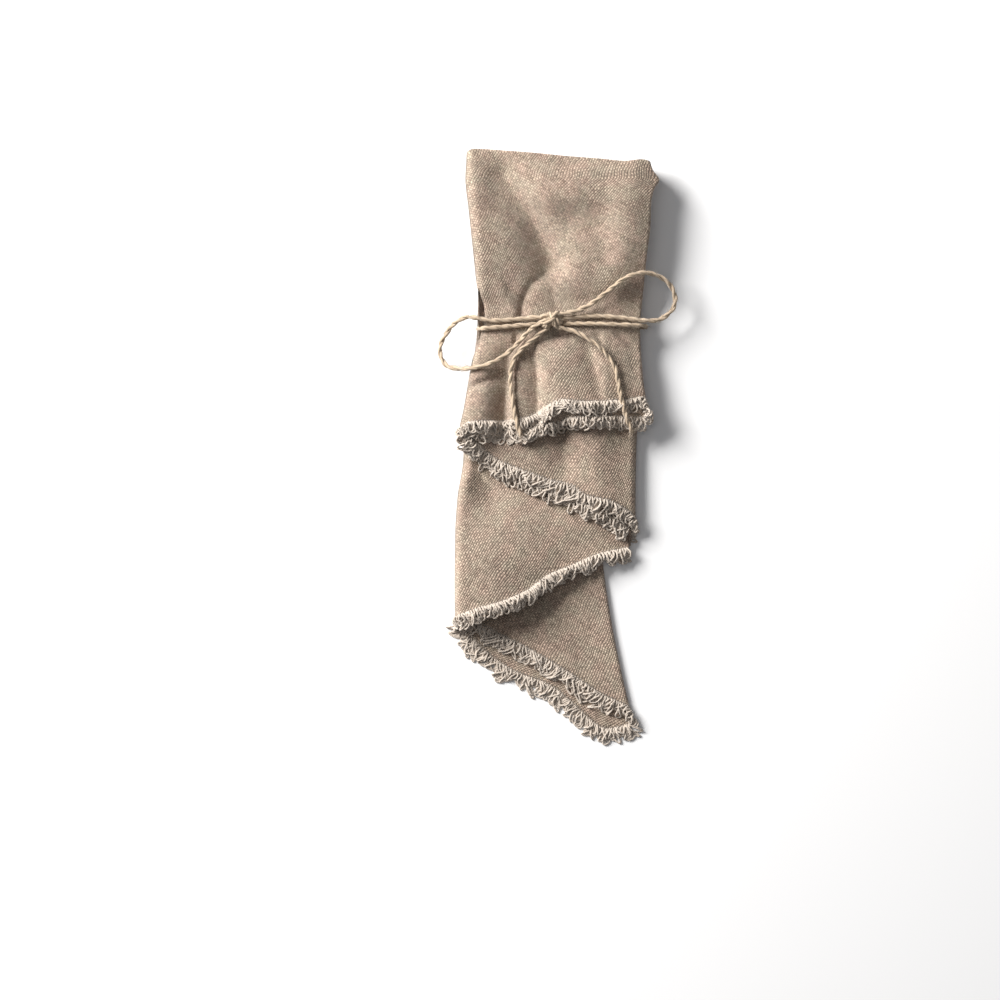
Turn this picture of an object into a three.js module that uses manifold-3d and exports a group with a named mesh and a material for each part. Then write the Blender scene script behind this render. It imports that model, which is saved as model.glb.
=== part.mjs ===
// A cloth napkin with a looped fringe, folded in quarters, pleated into four layers and tied
// with jute twine in a bow. Millimetres, +Z up, +Y towards the folded top edge. The origin is
// on the table, under the middle of the cloth.
//
// The cloth is one ribbon that runs back and forth through eight levels, level 1 on the table
// and level 8 on top. Levels 7 and 8 are layer A, then come B, C and D, each longer than the
// one above it, so that the hem steps down in a zigzag.
import * as THREE from 'three';
import { mergeVertices } from 'three/addons/utils/BufferGeometryUtils.js';
import Module from 'manifold-3d';

const wasm = await Module();
wasm.setup();

// Driving dimensions
const LEVELS = 8;
const PLY = 1.1; // two sheets of cloth pressed together
const TIE_Y = 54.5; // where the twine goes round
const TIE_RAISE = 2.6; // how far the twine under the bundle lifts it
const TIE_RAISE_REACH = 9;
const TIE_GRIP = 14; // stretch over which the folds open out on each side of the twine
const DROP_RUN = 18; // stretch over which the upper layers sink past layer D's edge
const BUTT_X = -16; // where the ribbon's two ends meet, hidden in level 7
const BUTT_GAP = 1.2;
const TOP_INSET = 0.4; // each level's top edge lies this much below the one above it
const EDGE_ROUNDING = 0.55; // share of the thickness left at the rounded top edge

const FRINGE_LENGTH = 5.3;
const FRINGE_GAP = 0.58; // between the cloth's edge and the strip at the locks' roots
const FRINGE_STRIP = 0.9;
const LOCK_PITCH = 3.8;
const LOCK_SHARE = 0.6; // share of the pitch that a lock's root takes
const LOCK_BEND = 0.6; // share of a lock's length at which it bends
const LOCK_LEAN = 0.16; // most sideways lean, as a slope, of a lock and of its bent end
const LOCK_CURL = 0.14;
const LOCK_UNEVEN = 0.08; // share by which the locks' lengths differ
const LOCK_BEND_WIDTH = 0.9; // widths at the bend and the tip, as shares of the root's
const LOCK_TIP_WIDTH = 0.45;
const LOCK_TIP_HEIGHT = 0.6;
const END_INSET = 0.3;
const INNER_INSET = 2;
const FRINGE_BELOW = -0.3; // faces of the fringe below and above the middle of the ply
const FRINGE_ABOVE = 0.42;

const TWINE = 2.1;
const TWINE_SIDES = 8;
const BAND_STEP = 4.8;
const BOW_STEP = 6.4;
const KNOT_CENTRE = [-2.2, 57.3, 16.6];
const KNOT_HALF = [3.6, 2.9, 2.5];
const KNOT_LUMP = 0.88; // the lump's size inside the turn of twine, as a share
const KNOT_TURN_STEPS = 12;
const KNOT_TURN_SLANT = 0.35;

const CLOTH_COLOUR = 0xa8968a;
const FRINGE_COLOUR = 0xb5a99b;
const TWINE_COLOUR = 0xc8af91;

// A row for each section across the bundle: y, the folds and side edges there, and the rise
// from one level to the next. Below its own hem an edge just carries on.
const SECTION_COLUMNS = ['y', 'leftAB', 'leftCD', 'rightA', 'rightBC', 'rightD', 'pitch'];
const SECTION_ROWS = [
  [134.0, -40.2, -39.2, 41.5, 40.0, 33.0, 1.70],
  [128.0, -40.6, -39.6, 42.2, 40.8, 33.0, 1.95],
  [124.5, -40.9, -39.8, 43.4, 41.0, 33.0, 2.15],
  [120.5, -41.0, -39.9, 46.2, 41.0, 33.0, 2.30],
  [116.5, -40.7, -39.7, 43.9, 40.8, 32.5, 2.42],
  [110.0, -39.9, -38.9, 42.5, 40.6, 32.0, 2.52],
  [100.0, -38.8, -37.8, 42.2, 40.3, 31.0, 2.52],
  [85.0, -37.2, -36.2, 40.4, 39.0, 29.0, 2.40],
  [72.0, -35.8, -34.8, 39.2, 37.8, 26.5, 2.05],
  [62.0, -33.3, -32.3, 38.2, 36.8, 23.5, 1.55],
  [54.5, -32.3, -31.5, 37.6, 36.2, 22.0, 1.37],
  [48.0, -34.6, -33.5, 37.8, 36.4, 20.5, 1.60],
  [40.0, -37.7, -36.4, 38.3, 36.8, 19.0, 1.95],
  [30.0, -39.6, -38.3, 39.1, 37.2, 17.5, 2.15],
  [18.0, -41.7, -40.4, 41.0, 37.3, 16.5, 2.20],
  [6.0, -44.0, -41.7, 42.5, 36.4, 16.0, 2.10],
  [-6.0, -44.5, -42.0, 42.5, 36.0, 16.0, 2.00],
  [-22.0, -44.5, -44.6, 42.5, 35.8, 17.4, 1.95],
  [-40.0, -44.5, -45.7, 42.5, 35.8, 19.6, 1.90],
  [-60.0, -44.5, -45.9, 42.5, 35.8, 22.1, 1.85],
  [-80.0, -44.5, -45.8, 42.5, 35.8, 25.2, 1.80],
  [-100.0, -44.5, -45.5, 42.5, 35.8, 29.2, 1.70],
  [-118.0, -44.5, -45.0, 42.5, 35.8, 33.3, 1.62],
  [-134.0, -44.5, -45.0, 42.5, 35.8, 36.6, 1.58],
];

// The folded top edge of the top level: x and y
const TOP_EDGE = [
  [-41.0, 131.6], [-40.0, 133.3], [-38.0, 133.9], [-20.0, 132.8], [-9.0, 131.9],
  [5.0, 130.5], [20.0, 129.3], [31.0, 128.3], [38.5, 129.1], [42.0, 128.4], [46.0, 126.0],
];

// The cloth's hem on each level: x and y
const HEMS = {
  8: [[-43.0, 9.9], [-33.5, 11.2], [-25.4, 11.2], [-13.7, 12.6], [-6.5, 16.2], [2.0, 20.7],
    [12.8, 19.8], [28.6, 20.7], [41.2, 22.5]],
  7: [[-43.0, 9.0], [-30.0, 8.1], [-18.7, 7.2], [-8.8, 9.0], [1.6, 12.2], [12.8, 13.5],
    [28.6, 13.5], [42.1, 12.6]],
  6: [[-42.5, 6.5], [-38.9, 3.6], [-25.4, -6.8], [-11.5, -12.2], [-4.7, -14.8], [6.5, -17.6],
    [13.7, -22.5], [22.7, -24.3], [34.4, -30.6]],
  5: [[-42.5, 4.5], [-38.9, 1.8], [-25.4, -8.6], [-11.5, -14.9], [6.5, -22.0], [22.7, -30.5],
    [35.8, -39.6]],
  4: [[-43.0, -75.6], [-34.4, -72.5], [-25.9, -70.2], [-13.7, -65.2], [-2.9, -57.6],
    [5.2, -54.4], [20.5, -48.2], [35.8, -45.2]],
  3: [[-43.0, -71.0], [-34.4, -67.0], [-13.7, -58.5], [5.2, -48.0], [20.5, -42.0],
    [35.8, -38.5]],
  2: [[-42.5, -74.7], [-34.4, -79.2], [-25.9, -84.6], [-13.7, -90.9], [-2.7, -97.2],
    [7.4, -103.5], [20.5, -112.0], [32.2, -117.4]],
  1: [[-44.0, -78.5], [-38.2, -86.2], [-27.2, -96.8], [-15.1, -103.3], [-4.7, -107.1],
    [7.2, -116.0], [14.0, -122.8], [22.3, -127.8], [33.0, -125.6]],
};

// Troughs and ridges of the top level, in which the levels below share by their height: the
// line that each follows, how wide it is on the left and on the right of someone who walks
// along that line, and its rise at the line's start and end
const FOLD_COLUMNS = ['line', 'leftWidth', 'rightWidth', 'startRise', 'endRise'];
const FOLD_ROWS = [
  [[[-26.0, 121.0], [-15.0, 104.0], [-3.0, 83.5]], 6.0, 11.0, -2.4, -5.8],
  [[[1.0, 101.0], [19.0, 103.0]], 11.0, 13.0, -4.2, -3.8],
  [[[-6.0, 106.0], [2.0, 92.0], [12.0, 80.0]], 6.0, 6.0, 1.2, 1.2],
  [[[-36.0, 118.0], [-33.0, 72.0]], 5.5, 5.5, 1.0, 0.8],
  [[[30.0, 110.0], [27.0, 88.0], [22.0, 73.0]], 5.0, 5.0, 0.8, 0.8],
  [[[4.0, 68.0], [18.0, 65.0]], 6.0, 6.0, -1.2, -1.4],
  [[[25.0, 66.0], [35.0, 64.0]], 5.5, 5.5, -1.6, -2.0],
  [[[-21.5, 45.0], [-22.6, 30.6], [-24.0, 8.0]], 5.0, 6.0, -2.4, -3.2],
  [[[-14.2, 51.3], [-11.0, 43.2], [-8.8, 32.9], [-8.3, 14.0]], 4.0, 5.0, -2.0, -3.0],
  [[[0.5, 44.0], [1.0, 22.0]], 8.0, 8.0, 1.6, 1.0],
  [[[12.4, 50.8], [18.2, 31.5], [19.6, 20.0]], 4.5, 5.0, -2.0, -1.4],
  [[[-27.5, 49.0], [-33.5, 36.0]], 5.0, 5.0, 1.0, 0.8],
  [[[29.0, 50.0], [33.0, 24.0]], 5.0, 5.0, 1.0, 0.8],
  [[[2.0, 10.0], [3.8, -9.0]], 7.5, 7.5, -4.3, -1.5],
  [[[-37.0, -10.0], [-34.0, -22.0]], 8.0, 8.0, -4.0, -3.2],
  [[[22.0, -40.0], [27.0, -46.0]], 6.5, 6.5, -2.4, -2.4],
];
const FOLD_POWER = 1.7; // how round the bottom of a trough is
const SIDE_BLEND = 3; // how soon a fold's width changes from one side of its line to the other
const TIGHTEST_PITCH = 1.36; // what a trough leaves between two levels at least

// Layer C's left fold stands high off layer D: how much, and where that begins and is full
const LIFT = 8;
const LIFT_DOWN = [-15, -55];
const LIFT_ACROSS = [18, -33];

// Smaller places where layers stand off: all levels above this one, the middle of the place,
// its reach across and along the bundle, and how much
const STAND_OFF_COLUMNS = ['above', 'x', 'y', 'across', 'along', 'rise'];
const STAND_OFF_ROWS = [
  [6, 3.0, 12.0, 12.0, 10.0, 4.0],
  [4, -42.0, 2.0, 15.0, 13.0, 3.2],
];

// The ribbon from its one hidden end to the other: a row for each run, the fold or edge at
// its two ends and its number of stations, then the stations of the turn that follows it
const RUN_COLUMNS = ['level', 'from', 'to', 'stations', 'turnStations'];
const RUN_ROWS = [
  [7, 'butt', 'rightA', 15, 3],
  [8, 'rightA', 'leftAB', 21, 4],
  [5, 'leftAB', 'rightBC', 14, 2],
  [4, 'rightBC', 'leftCD', 14, 4],
  [1, 'leftCD', 'rightD', 6, 3],
  [2, 'rightD', 'leftCD', 6, 2],
  [3, 'leftCD', 'rightBC', 14, 4],
  [6, 'rightBC', 'leftAB', 14, 2],
  [7, 'leftAB', 'butt', 6, 0],
];

// The outer turn's span in levels at each fold or edge
const TURN_SPAN = { leftAB: 3, leftCD: 3, rightA: 1, rightBC: 3, rightD: 1 };

// Rows of the mesh down the bundle: first below the top edge, then at fixed heights, then as
// shares of the way from the last fixed one to the hem
const ROWS_BELOW_TOP = [0, 1.4];
const ROWS_FIXED = [124.5, 120.5, 113, 105, 97, 89, 81, 71, 61, 54, 47, 39, 30];
const ROWS_TO_HEM = [0.25, 0.5, 0.75, 1];
const NEAR_TOP = 128; // height at which a station meets the top edge, near enough
const HEM_FIRST_GUESS = -40;
const HEM_TRIES = 12;

// The twine's routes, chosen by hand: x, y and z
const ROUTES = {
  twine_band: [
    [-6.8, 55.9, 15.1], [-11.0, 55.4, 14.95], [-20.0, 54.7, 15.05], [-28.0, 54.0, 15.25],
    [-32.9, 53.7, 14.75], [-34.8, 53.6, 12.0], [-35.0, 53.6, 8.0], [-34.4, 53.7, 4.0],
    [-31.5, 53.8, 1.6], [-27.0, 53.9, 1.15], [-10.0, 54.2, 1.15], [12.0, 54.4, 1.15],
    [31.0, 54.6, 1.2], [36.5, 54.6, 1.8], [39.6, 54.7, 4.2], [40.2, 54.8, 8.0],
    [38.9, 54.9, 11.8], [35.2, 55.1, 13.85], [29.0, 55.3, 14.65], [19.0, 55.6, 15.05],
    [10.0, 55.7, 15.1], [2.7, 55.7, 14.8],
  ],
  twine_loop_left: [
    [-6.6, 58.5, 16.8], [-11.0, 58.4, 16.0], [-16.5, 57.9, 15.2], [-23.0, 57.3, 15.0],
    [-30.0, 57.2, 15.2], [-36.0, 58.4, 14.8], [-41.0, 58.6, 13.6], [-45.6, 56.2, 12.0],
    [-49.2, 52.0, 10.4], [-51.9, 47.2, 9.4], [-52.2, 41.6, 9.4], [-49.6, 37.3, 10.6],
    [-44.6, 35.6, 13.4], [-39.0, 35.7, 16.5], [-32.4, 36.9, 18.1], [-26.2, 39.6, 17.3],
    [-20.4, 44.0, 16.2], [-16.4, 48.0, 16.2], [-12.6, 52.2, 16.9], [-7.3, 56.0, 17.5],
  ],
  twine_loop_right: [
    [0.9, 59.6, 17.6], [8.4, 61.2, 17.0], [14.2, 63.8, 16.8], [20.0, 68.0, 17.2],
    [25.4, 72.2, 18.0], [31.0, 76.2, 18.4], [36.2, 78.1, 17.8], [41.2, 78.4, 16.0],
    [46.6, 76.8, 13.8], [51.0, 73.2, 12.0], [53.2, 68.6, 11.0], [52.8, 63.6, 11.0],
    [49.6, 59.6, 11.4], [45.0, 57.4, 12.2], [39.2, 57.2, 13.4], [33.0, 58.0, 14.2],
    [25.4, 58.8, 14.9], [17.4, 59.1, 14.9], [9.6, 58.8, 15.3], [2.4, 57.9, 16.0],
  ],
  twine_tail_left: [
    [-4.4, 53.6, 16.2], [-8.2, 50.6, 15.6], [-12.6, 46.9, 15.7], [-16.8, 43.0, 16.0],
    [-19.4, 39.2, 16.2], [-20.5, 35.0, 16.4], [-20.6, 29.0, 16.8], [-19.9, 22.0, 17.2],
    [-18.9, 15.5, 17.5], [-17.6, 10.0, 17.4], [-15.9, 4.8, 16.5],
  ],
  twine_tail_right: [
    [0.9, 54.0, 16.6], [5.4, 53.0, 16.4], [10.2, 51.2, 16.6], [15.5, 48.0, 16.8],
    [20.2, 44.4, 16.4], [24.0, 39.8, 15.8], [26.4, 35.2, 15.7], [27.6, 29.8, 15.5],
    [28.6, 24.2, 15.4], [30.6, 16.4, 15.0], [32.6, 10.6, 13.4], [34.2, 6.2, 11.2],
  ],
};

function withNames(columns, rows) {
  return rows.map((row) => Object.fromEntries(columns.map((name, i) => [name, row[i]])));
}

// A smooth curve through points with rising abscissa, which never overshoots them
function smoothThrough(points) {
  const sorted = [...points].sort((a, b) => a[0] - b[0]);
  const slope = sorted.slice(1).map((p, i) => (p[1] - sorted[i][1]) / (p[0] - sorted[i][0]));
  const tangent = sorted.map((p, i) => {
    if (i === 0) return slope[0];
    if (i === slope.length) return slope[i - 1];
    const product = slope[i - 1] * slope[i];
    return product > 0 ? (2 * product) / (slope[i - 1] + slope[i]) : 0;
  });
  return (at) => {
    const last = sorted.length - 1;
    if (at <= sorted[0][0]) return sorted[0][1];
    if (at >= sorted[last][0]) return sorted[last][1];
    const i = sorted.findIndex((p) => p[0] > at) - 1;
    const width = sorted[i + 1][0] - sorted[i][0];
    const t = (at - sorted[i][0]) / width;
    return sorted[i][1] * (1 + 2 * t) * (1 - t) ** 2 + tangent[i] * width * t * (1 - t) ** 2
      + sorted[i + 1][1] * t * t * (3 - 2 * t) + tangent[i + 1] * width * t * t * (t - 1);
  };
}

const sections = withNames(SECTION_COLUMNS, SECTION_ROWS);
const section = Object.fromEntries(SECTION_COLUMNS.slice(1).map(
  (name) => [name, smoothThrough(sections.map((row) => [row.y, row[name]]))]));
const topEdge = smoothThrough(TOP_EDGE);
const hem = Object.fromEntries(
  Object.entries(HEMS).map(([level, points]) => [level, smoothThrough(points)]));
const folds = withNames(FOLD_COLUMNS, FOLD_ROWS);
const standOffs = withNames(STAND_OFF_COLUMNS, STAND_OFF_ROWS);

function smoothstep(t) {
  const clamped = Math.min(Math.max(t, 0), 1);
  return clamped * clamped * (3 - 2 * clamped);
}

// Rise at x, y of a trough or ridge that follows a line
function foldRise(x, y, { line, leftWidth, rightWidth, startRise, endRise }) {
  let [nearest, width, rise] = [Infinity, 1, 0];
  line.slice(1).forEach(([x2, y2], i) => {
    const [x1, y1] = line[i];
    const [dx, dy] = [x2 - x1, y2 - y1];
    const along = ((x - x1) * dx + (y - y1) * dy) / (dx * dx + dy * dy);
    const t = Math.min(Math.max(along, 0), 1);
    const away = Math.hypot(x - x1 - t * dx, y - y1 - t * dy);
    if (away >= nearest) return;
    const aside = (dx * (y - y1) - dy * (x - x1)) / Math.hypot(dx, dy);
    nearest = away;
    width = rightWidth + (leftWidth - rightWidth) * smoothstep(aside / SIDE_BLEND + 0.5);
    rise = startRise + ((endRise - startRise) * (i + t)) / (line.length - 1);
  });
  return rise * Math.exp(-((nearest / width) ** FOLD_POWER));
}

// Rise or fall of the top level at x, y, none where the twine holds the bundle
function relief(x, y) {
  const free = smoothstep((Math.abs(y - TIE_Y) - TWINE) / TIE_GRIP);
  return folds.reduce((sum, fold) => sum + free * foldRise(x, y, fold), 0);
}

// How far a level stands off the ones far below it
function standOff(level, x, y) {
  if (level <= 2) return 0;
  const down = smoothstep((y - LIFT_DOWN[0]) / (LIFT_DOWN[1] - LIFT_DOWN[0]));
  const across = smoothstep((x - LIFT_ACROSS[0]) / (LIFT_ACROSS[1] - LIFT_ACROSS[0]));
  return standOffs.filter((place) => level > place.above).reduce((sum, place) => {
    const away = Math.hypot((x - place.x) / place.across, (y - place.y) / place.along);
    return sum + place.rise * Math.exp(-away * away);
  }, LIFT * down * across);
}

// Height of the middle of a level's ply at x, y
function levelHeight(level, x, y) {
  const plain = section.pitch(y);
  const tightest = Math.min(plain, TIGHTEST_PITCH);
  const pitch = Math.max(plain + relief(x, y) / (LEVELS - 1), tightest);
  const raise = TIE_RAISE * Math.exp(-(((y - TIE_Y) / TIE_RAISE_REACH) ** 2));
  const past = level > 2 ? 2 * pitch * smoothstep((x - section.rightD(y)) / DROP_RUN) : 0;
  return raise + PLY / 2 + (level - 1) * pitch - past + standOff(level, x, y);
}

// Where a run ends and the turn begins: the middle of the turn's arc
function turnCentre(edge, y) {
  if (edge === 'butt') return BUTT_X;
  const inward = edge.startsWith('left') ? 1 : -1;
  const radius = (TURN_SPAN[edge] * section.pitch(y)) / 2;
  return section[edge](y) + inward * (radius + PLY / 2);
}

// Each station of the ribbon gives a point of its middle surface for a y
function makeStations() {
  const runs = withNames(RUN_COLUMNS, RUN_ROWS);
  const stations = [];
  runs.forEach((run, r) => {
    for (let i = 0; i < run.stations; i += 1) {
      const share = i / (run.stations - 1);
      const shift = (edge, side) => (edge === 'butt' ? (side * BUTT_GAP) / 2 : 0);
      const place = (y) => {
        const start = turnCentre(run.from, y) + shift(run.from, 1);
        const end = turnCentre(run.to, y) + shift(run.to, -1);
        const x = start + (end - start) * share;
        return new THREE.Vector3(x, y, levelHeight(run.level, x, y));
      };
      stations.push({ place, run: r, level: run.level, hemLevels: [run.level], turned: 0,
        fringed: true });
    }
    const next = runs[r + 1];
    for (let i = 1; i <= run.turnStations; i += 1) {
      const angle = (Math.PI * i) / (run.turnStations + 1);
      const side = run.to.startsWith('left') ? -1 : 1;
      const place = (y) => {
        const x = turnCentre(run.to, y);
        const start = levelHeight(run.level, x, y);
        const end = levelHeight(next.level, x, y);
        const radius = (Math.abs(next.level - run.level) * section.pitch(y)) / 2;
        return new THREE.Vector3(x + side * radius * Math.sin(angle), y,
          (start + end) / 2 + ((start - end) / 2) * Math.cos(angle));
      };
      const turned = angle / Math.PI;
      const level = run.level + (next.level - run.level) * turned;
      const fringed = Math.abs(next.level - run.level) > 1 && turned !== 0.5;
      stations.push({ place, run: turned < 0.5 ? r : r + 1, level, turned, fringed,
        hemLevels: [run.level, next.level], centre: (y) => turnCentre(run.to, y) });
    }
  });
  return stations;
}

// The y of a station's hem, found by trial where its own way down meets the hem's line
function hemY(station) {
  const onLine = (level) => {
    let y = HEM_FIRST_GUESS;
    for (let i = 0; i < HEM_TRIES; i += 1) {
      const x = station.centre ? station.centre(y) : station.place(y).x;
      y = hem[level](x);
    }
    return y;
  };
  const ends = station.hemLevels.map(onLine);
  return ends.length === 1 ? ends[0] : ends[0] + (ends[1] - ends[0]) * station.turned;
}

function rowHeights(station) {
  const top = topEdge(station.place(NEAR_TOP).x) - TOP_INSET * (LEVELS - station.level);
  const lastFixed = ROWS_FIXED[ROWS_FIXED.length - 1];
  const end = hemY(station);
  return [...ROWS_BELOW_TOP.map((below) => top - below), ...ROWS_FIXED,
    ...ROWS_TO_HEM.map((share) => lastFixed + (end - lastFixed) * share)];
}

// Six times the volume that closed triangles hold, negative if they face inwards
function signedVolume(positions, triangles) {
  const at = (i) => new THREE.Vector3().fromArray(positions, 3 * i);
  let sum = 0;
  for (let i = 0; i < triangles.length; i += 3) {
    sum += at(triangles[i]).dot(at(triangles[i + 1]).cross(at(triangles[i + 2])));
  }
  return sum;
}

function flipped(triangles) {
  return triangles.map((corner, i) => triangles[i + [0, 1, -1][i % 3]]);
}

function meshFrom(name, positions, triangles, material) {
  const facing = signedVolume(positions, triangles) > 0 ? triangles : flipped(triangles);
  const geometry = new THREE.BufferGeometry();
  geometry.setAttribute('position', new THREE.Float32BufferAttribute(positions, 3));
  geometry.setIndex(facing);
  geometry.computeVertexNormals();
  const mesh = new THREE.Mesh(geometry, material);
  mesh.name = name;
  return mesh;
}

// The middle surface of the ribbon, station by station, with the direction across it
function ribbonGrid() {
  const stations = makeStations();
  const grid = stations.map((station) => rowHeights(station).map((y) => station.place(y)));
  const direction = (a, b) => b.clone().sub(a);
  const normals = grid.map((line, s) => line.map((point, r) => {
    const along = direction(grid[Math.max(s - 1, 0)][r], grid[Math.min(s + 1, grid.length - 1)][r]);
    const down = direction(line[Math.max(r - 1, 0)], line[Math.min(r + 1, line.length - 1)]);
    return along.cross(down).normalize();
  }));
  return { stations, grid, normals };
}

// Closes the two sides of the ribbon into one solid
function napkinMesh({ grid, normals }, material) {
  const [columns, rows] = [grid.length, grid[0].length];
  const positions = [];
  for (const side of [1, -1]) {
    grid.forEach((line, s) => line.forEach((point, r) => {
      const share = r === 0 ? EDGE_ROUNDING : 1;
      const corner = point.clone().addScaledVector(normals[s][r], (side * share * PLY) / 2);
      positions.push(corner.x, corner.y, corner.z);
    }));
  }
  const triangles = [];
  const quad = (a, b, c, d) => triangles.push(a, b, c, a, c, d);
  const outer = (s, r) => s * rows + r;
  const inner = (s, r) => columns * rows + s * rows + r;
  for (let s = 0; s < columns - 1; s += 1) {
    for (let r = 0; r < rows - 1; r += 1) {
      quad(outer(s, r), outer(s + 1, r), outer(s + 1, r + 1), outer(s, r + 1));
      quad(inner(s, r), inner(s, r + 1), inner(s + 1, r + 1), inner(s + 1, r));
    }
    quad(outer(s, 0), inner(s, 0), inner(s + 1, 0), outer(s + 1, 0));
    quad(outer(s, rows - 1), outer(s + 1, rows - 1), inner(s + 1, rows - 1), inner(s, rows - 1));
  }
  for (let r = 0; r < rows - 1; r += 1) {
    const last = columns - 1;
    quad(outer(0, r), outer(0, r + 1), inner(0, r + 1), inner(0, r));
    quad(outer(last, r), inner(last, r), inner(last, r + 1), outer(last, r + 1));
  }
  return meshFrom('napkin', positions, triangles, material);
}

function solidFromGeometry(geometry) {
  const plain = geometry.clone();
  plain.deleteAttribute('normal');
  plain.deleteAttribute('uv');
  const merged = mergeVertices(plain, 1e-4);
  return new wasm.Manifold(new wasm.Mesh({ numProp: 3,
    vertProperties: new Float32Array(merged.attributes.position.array),
    triVerts: new Uint32Array(merged.index.array) }));
}

function meshFromSolid(name, solid, material) {
  const { vertProperties, triVerts } = solid.getMesh();
  return meshFrom(name, Array.from(vertProperties), Array.from(triVerts), material);
}

// The hem's edge of one run: points, the way out of the cloth and the way up across the ply
function hemEdge(ribbon, run) {
  const last = ribbon.grid[0].length - 1;
  const picked = ribbon.stations.map((station, s) => s)
    .filter((s) => ribbon.stations[s].run === run && ribbon.stations[s].fringed);
  const facesUp = ribbon.normals[picked[Math.floor(picked.length / 2)]][last].z > 0;
  let length = 0;
  return picked.map((s, i) => {
    const point = ribbon.grid[s][last];
    const before = ribbon.grid[picked[Math.max(i - 1, 0)]][last];
    const after = ribbon.grid[picked[Math.min(i + 1, picked.length - 1)]][last];
    const along = after.clone().sub(before).normalize();
    const up = ribbon.normals[s][last].clone().multiplyScalar(facesUp ? 1 : -1);
    const out = up.clone().cross(along).normalize();
    if (out.y > 0) out.negate();
    length += i === 0 ? 0 : point.distanceTo(before);
    return { at: length, point, out, up, along, turned: Boolean(ribbon.stations[s].centre) };
  });
}

// The edge's frame at a length along it
function frameAt(edge, at) {
  let i = 0;
  while (i < edge.length - 2 && edge[i + 1].at < at) i += 1;
  const share = (at - edge[i].at) / (edge[i + 1].at - edge[i].at);
  const mix = (name) => edge[i][name].clone().lerp(edge[i + 1][name], share);
  return { point: mix('point'), out: mix('out').normalize(), up: mix('up').normalize(),
    along: mix('along').normalize(), turned: edge[i].turned || edge[i + 1].turned };
}

// How far short of its run's end the fringe stops: most inside another turn of the cloth
function fringeInset(edgeName, turned) {
  return turned || edgeName === 'butt' || TURN_SPAN[edgeName] === 1 ? END_INSET : INNER_INSET;
}

// The fringe of one run: a comb, with a narrow strip along the hem and a bent lock for each
// tooth. Each tooth has a row of points from the strip's inner edge to the tip.
function fringeMesh(name, ribbon, run, material) {
  const level = RUN_ROWS[run][0];
  const edge = hemEdge(ribbon, run);
  const { from, to } = withNames(RUN_COLUMNS, RUN_ROWS)[run];
  const first = fringeInset(from, edge[0].turned);
  const total = edge[edge.length - 1].at - first - fringeInset(to, edge[edge.length - 1].turned);
  const count = Math.round(total / LOCK_PITCH);
  const below = level === 1 ? -PLY / 2 : FRINGE_BELOW;
  const positions = [];
  const put = (at, reach, sideways, size) => {
    const { point, out, up, along, turned } = frameAt(edge, first + at);
    const middle = point.clone().addScaledVector(out, reach).addScaledVector(along, sideways);
    if (!turned) {
      const fall = levelHeight(level, middle.x, middle.y) - levelHeight(level, point.x, point.y);
      middle.z = point.z + (level === 1 ? 0 : fall);
    }
    for (const rise of [below, below + (FRINGE_ABOVE - below) * size]) {
      const corner = middle.clone().addScaledVector(up, rise);
      positions.push(corner.x, corner.y, corner.z);
    }
  };
  const pitch = total / count;
  const stripEnd = FRINGE_GAP + FRINGE_STRIP;
  for (let k = 0; k < count; k += 1) {
    const lean = LOCK_LEAN * Math.sin(k * 1.7 + run);
    const curl = LOCK_CURL * Math.sin(k * 2.9 + 2 * run);
    const length = FRINGE_LENGTH * (1 + LOCK_UNEVEN * Math.sin(k * 4.1 + run));
    for (const [side, start] of [[-1, k], [1, k + LOCK_SHARE]]) {
      const at = Math.min((start + (1 - LOCK_SHARE) / 2) * pitch, total);
      const narrow = (share) => (-side * (1 - share) * LOCK_SHARE * pitch) / 2;
      put(at, FRINGE_GAP, 0, 1);
      put(at, stripEnd, 0, 1);
      put(at, length * LOCK_BEND, lean * length * LOCK_BEND + narrow(LOCK_BEND_WIDTH), 1);
      put(at, length, (lean + curl) * length + narrow(LOCK_TIP_WIDTH), LOCK_TIP_HEIGHT);
    }
  }
  return meshFrom(name, positions, combTriangles(count), material);
}

// Triangles of a comb whose teeth have two sides of four points, each point with a lower and
// an upper corner
function combTriangles(count) {
  const triangles = [];
  const quad = (a, b, c, d) => triangles.push(a, b, c, a, c, d);
  const corner = (tooth, side, row, upper) => ((tooth * 2 + side) * 4 + row) * 2 + upper;
  const plate = (a, b, c, d) => {
    quad(corner(...a, 1), corner(...b, 1), corner(...c, 1), corner(...d, 1));
    quad(corner(...a, 0), corner(...d, 0), corner(...c, 0), corner(...b, 0));
  };
  const wall = (a, b) => quad(corner(...a, 0), corner(...b, 0), corner(...b, 1), corner(...a, 1));
  for (let k = 0; k < count; k += 1) {
    for (let row = 0; row < 3; row += 1) {
      plate([k, 0, row], [k, 0, row + 1], [k, 1, row + 1], [k, 1, row]);
    }
    for (const row of [1, 2]) {
      wall([k, 0, row], [k, 0, row + 1]);
      wall([k, 1, row + 1], [k, 1, row]);
    }
    wall([k, 0, 3], [k, 1, 3]);
    wall([k, 1, 0], [k, 0, 0]);
    if (k < count - 1) {
      plate([k, 1, 0], [k, 1, 1], [k + 1, 0, 1], [k + 1, 0, 0]);
      wall([k, 1, 1], [k + 1, 0, 1]);
      wall([k + 1, 0, 0], [k, 1, 0]);
    }
  }
  wall([0, 0, 0], [0, 0, 1]);
  wall([count - 1, 1, 1], [count - 1, 1, 0]);
  return triangles;
}

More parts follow.
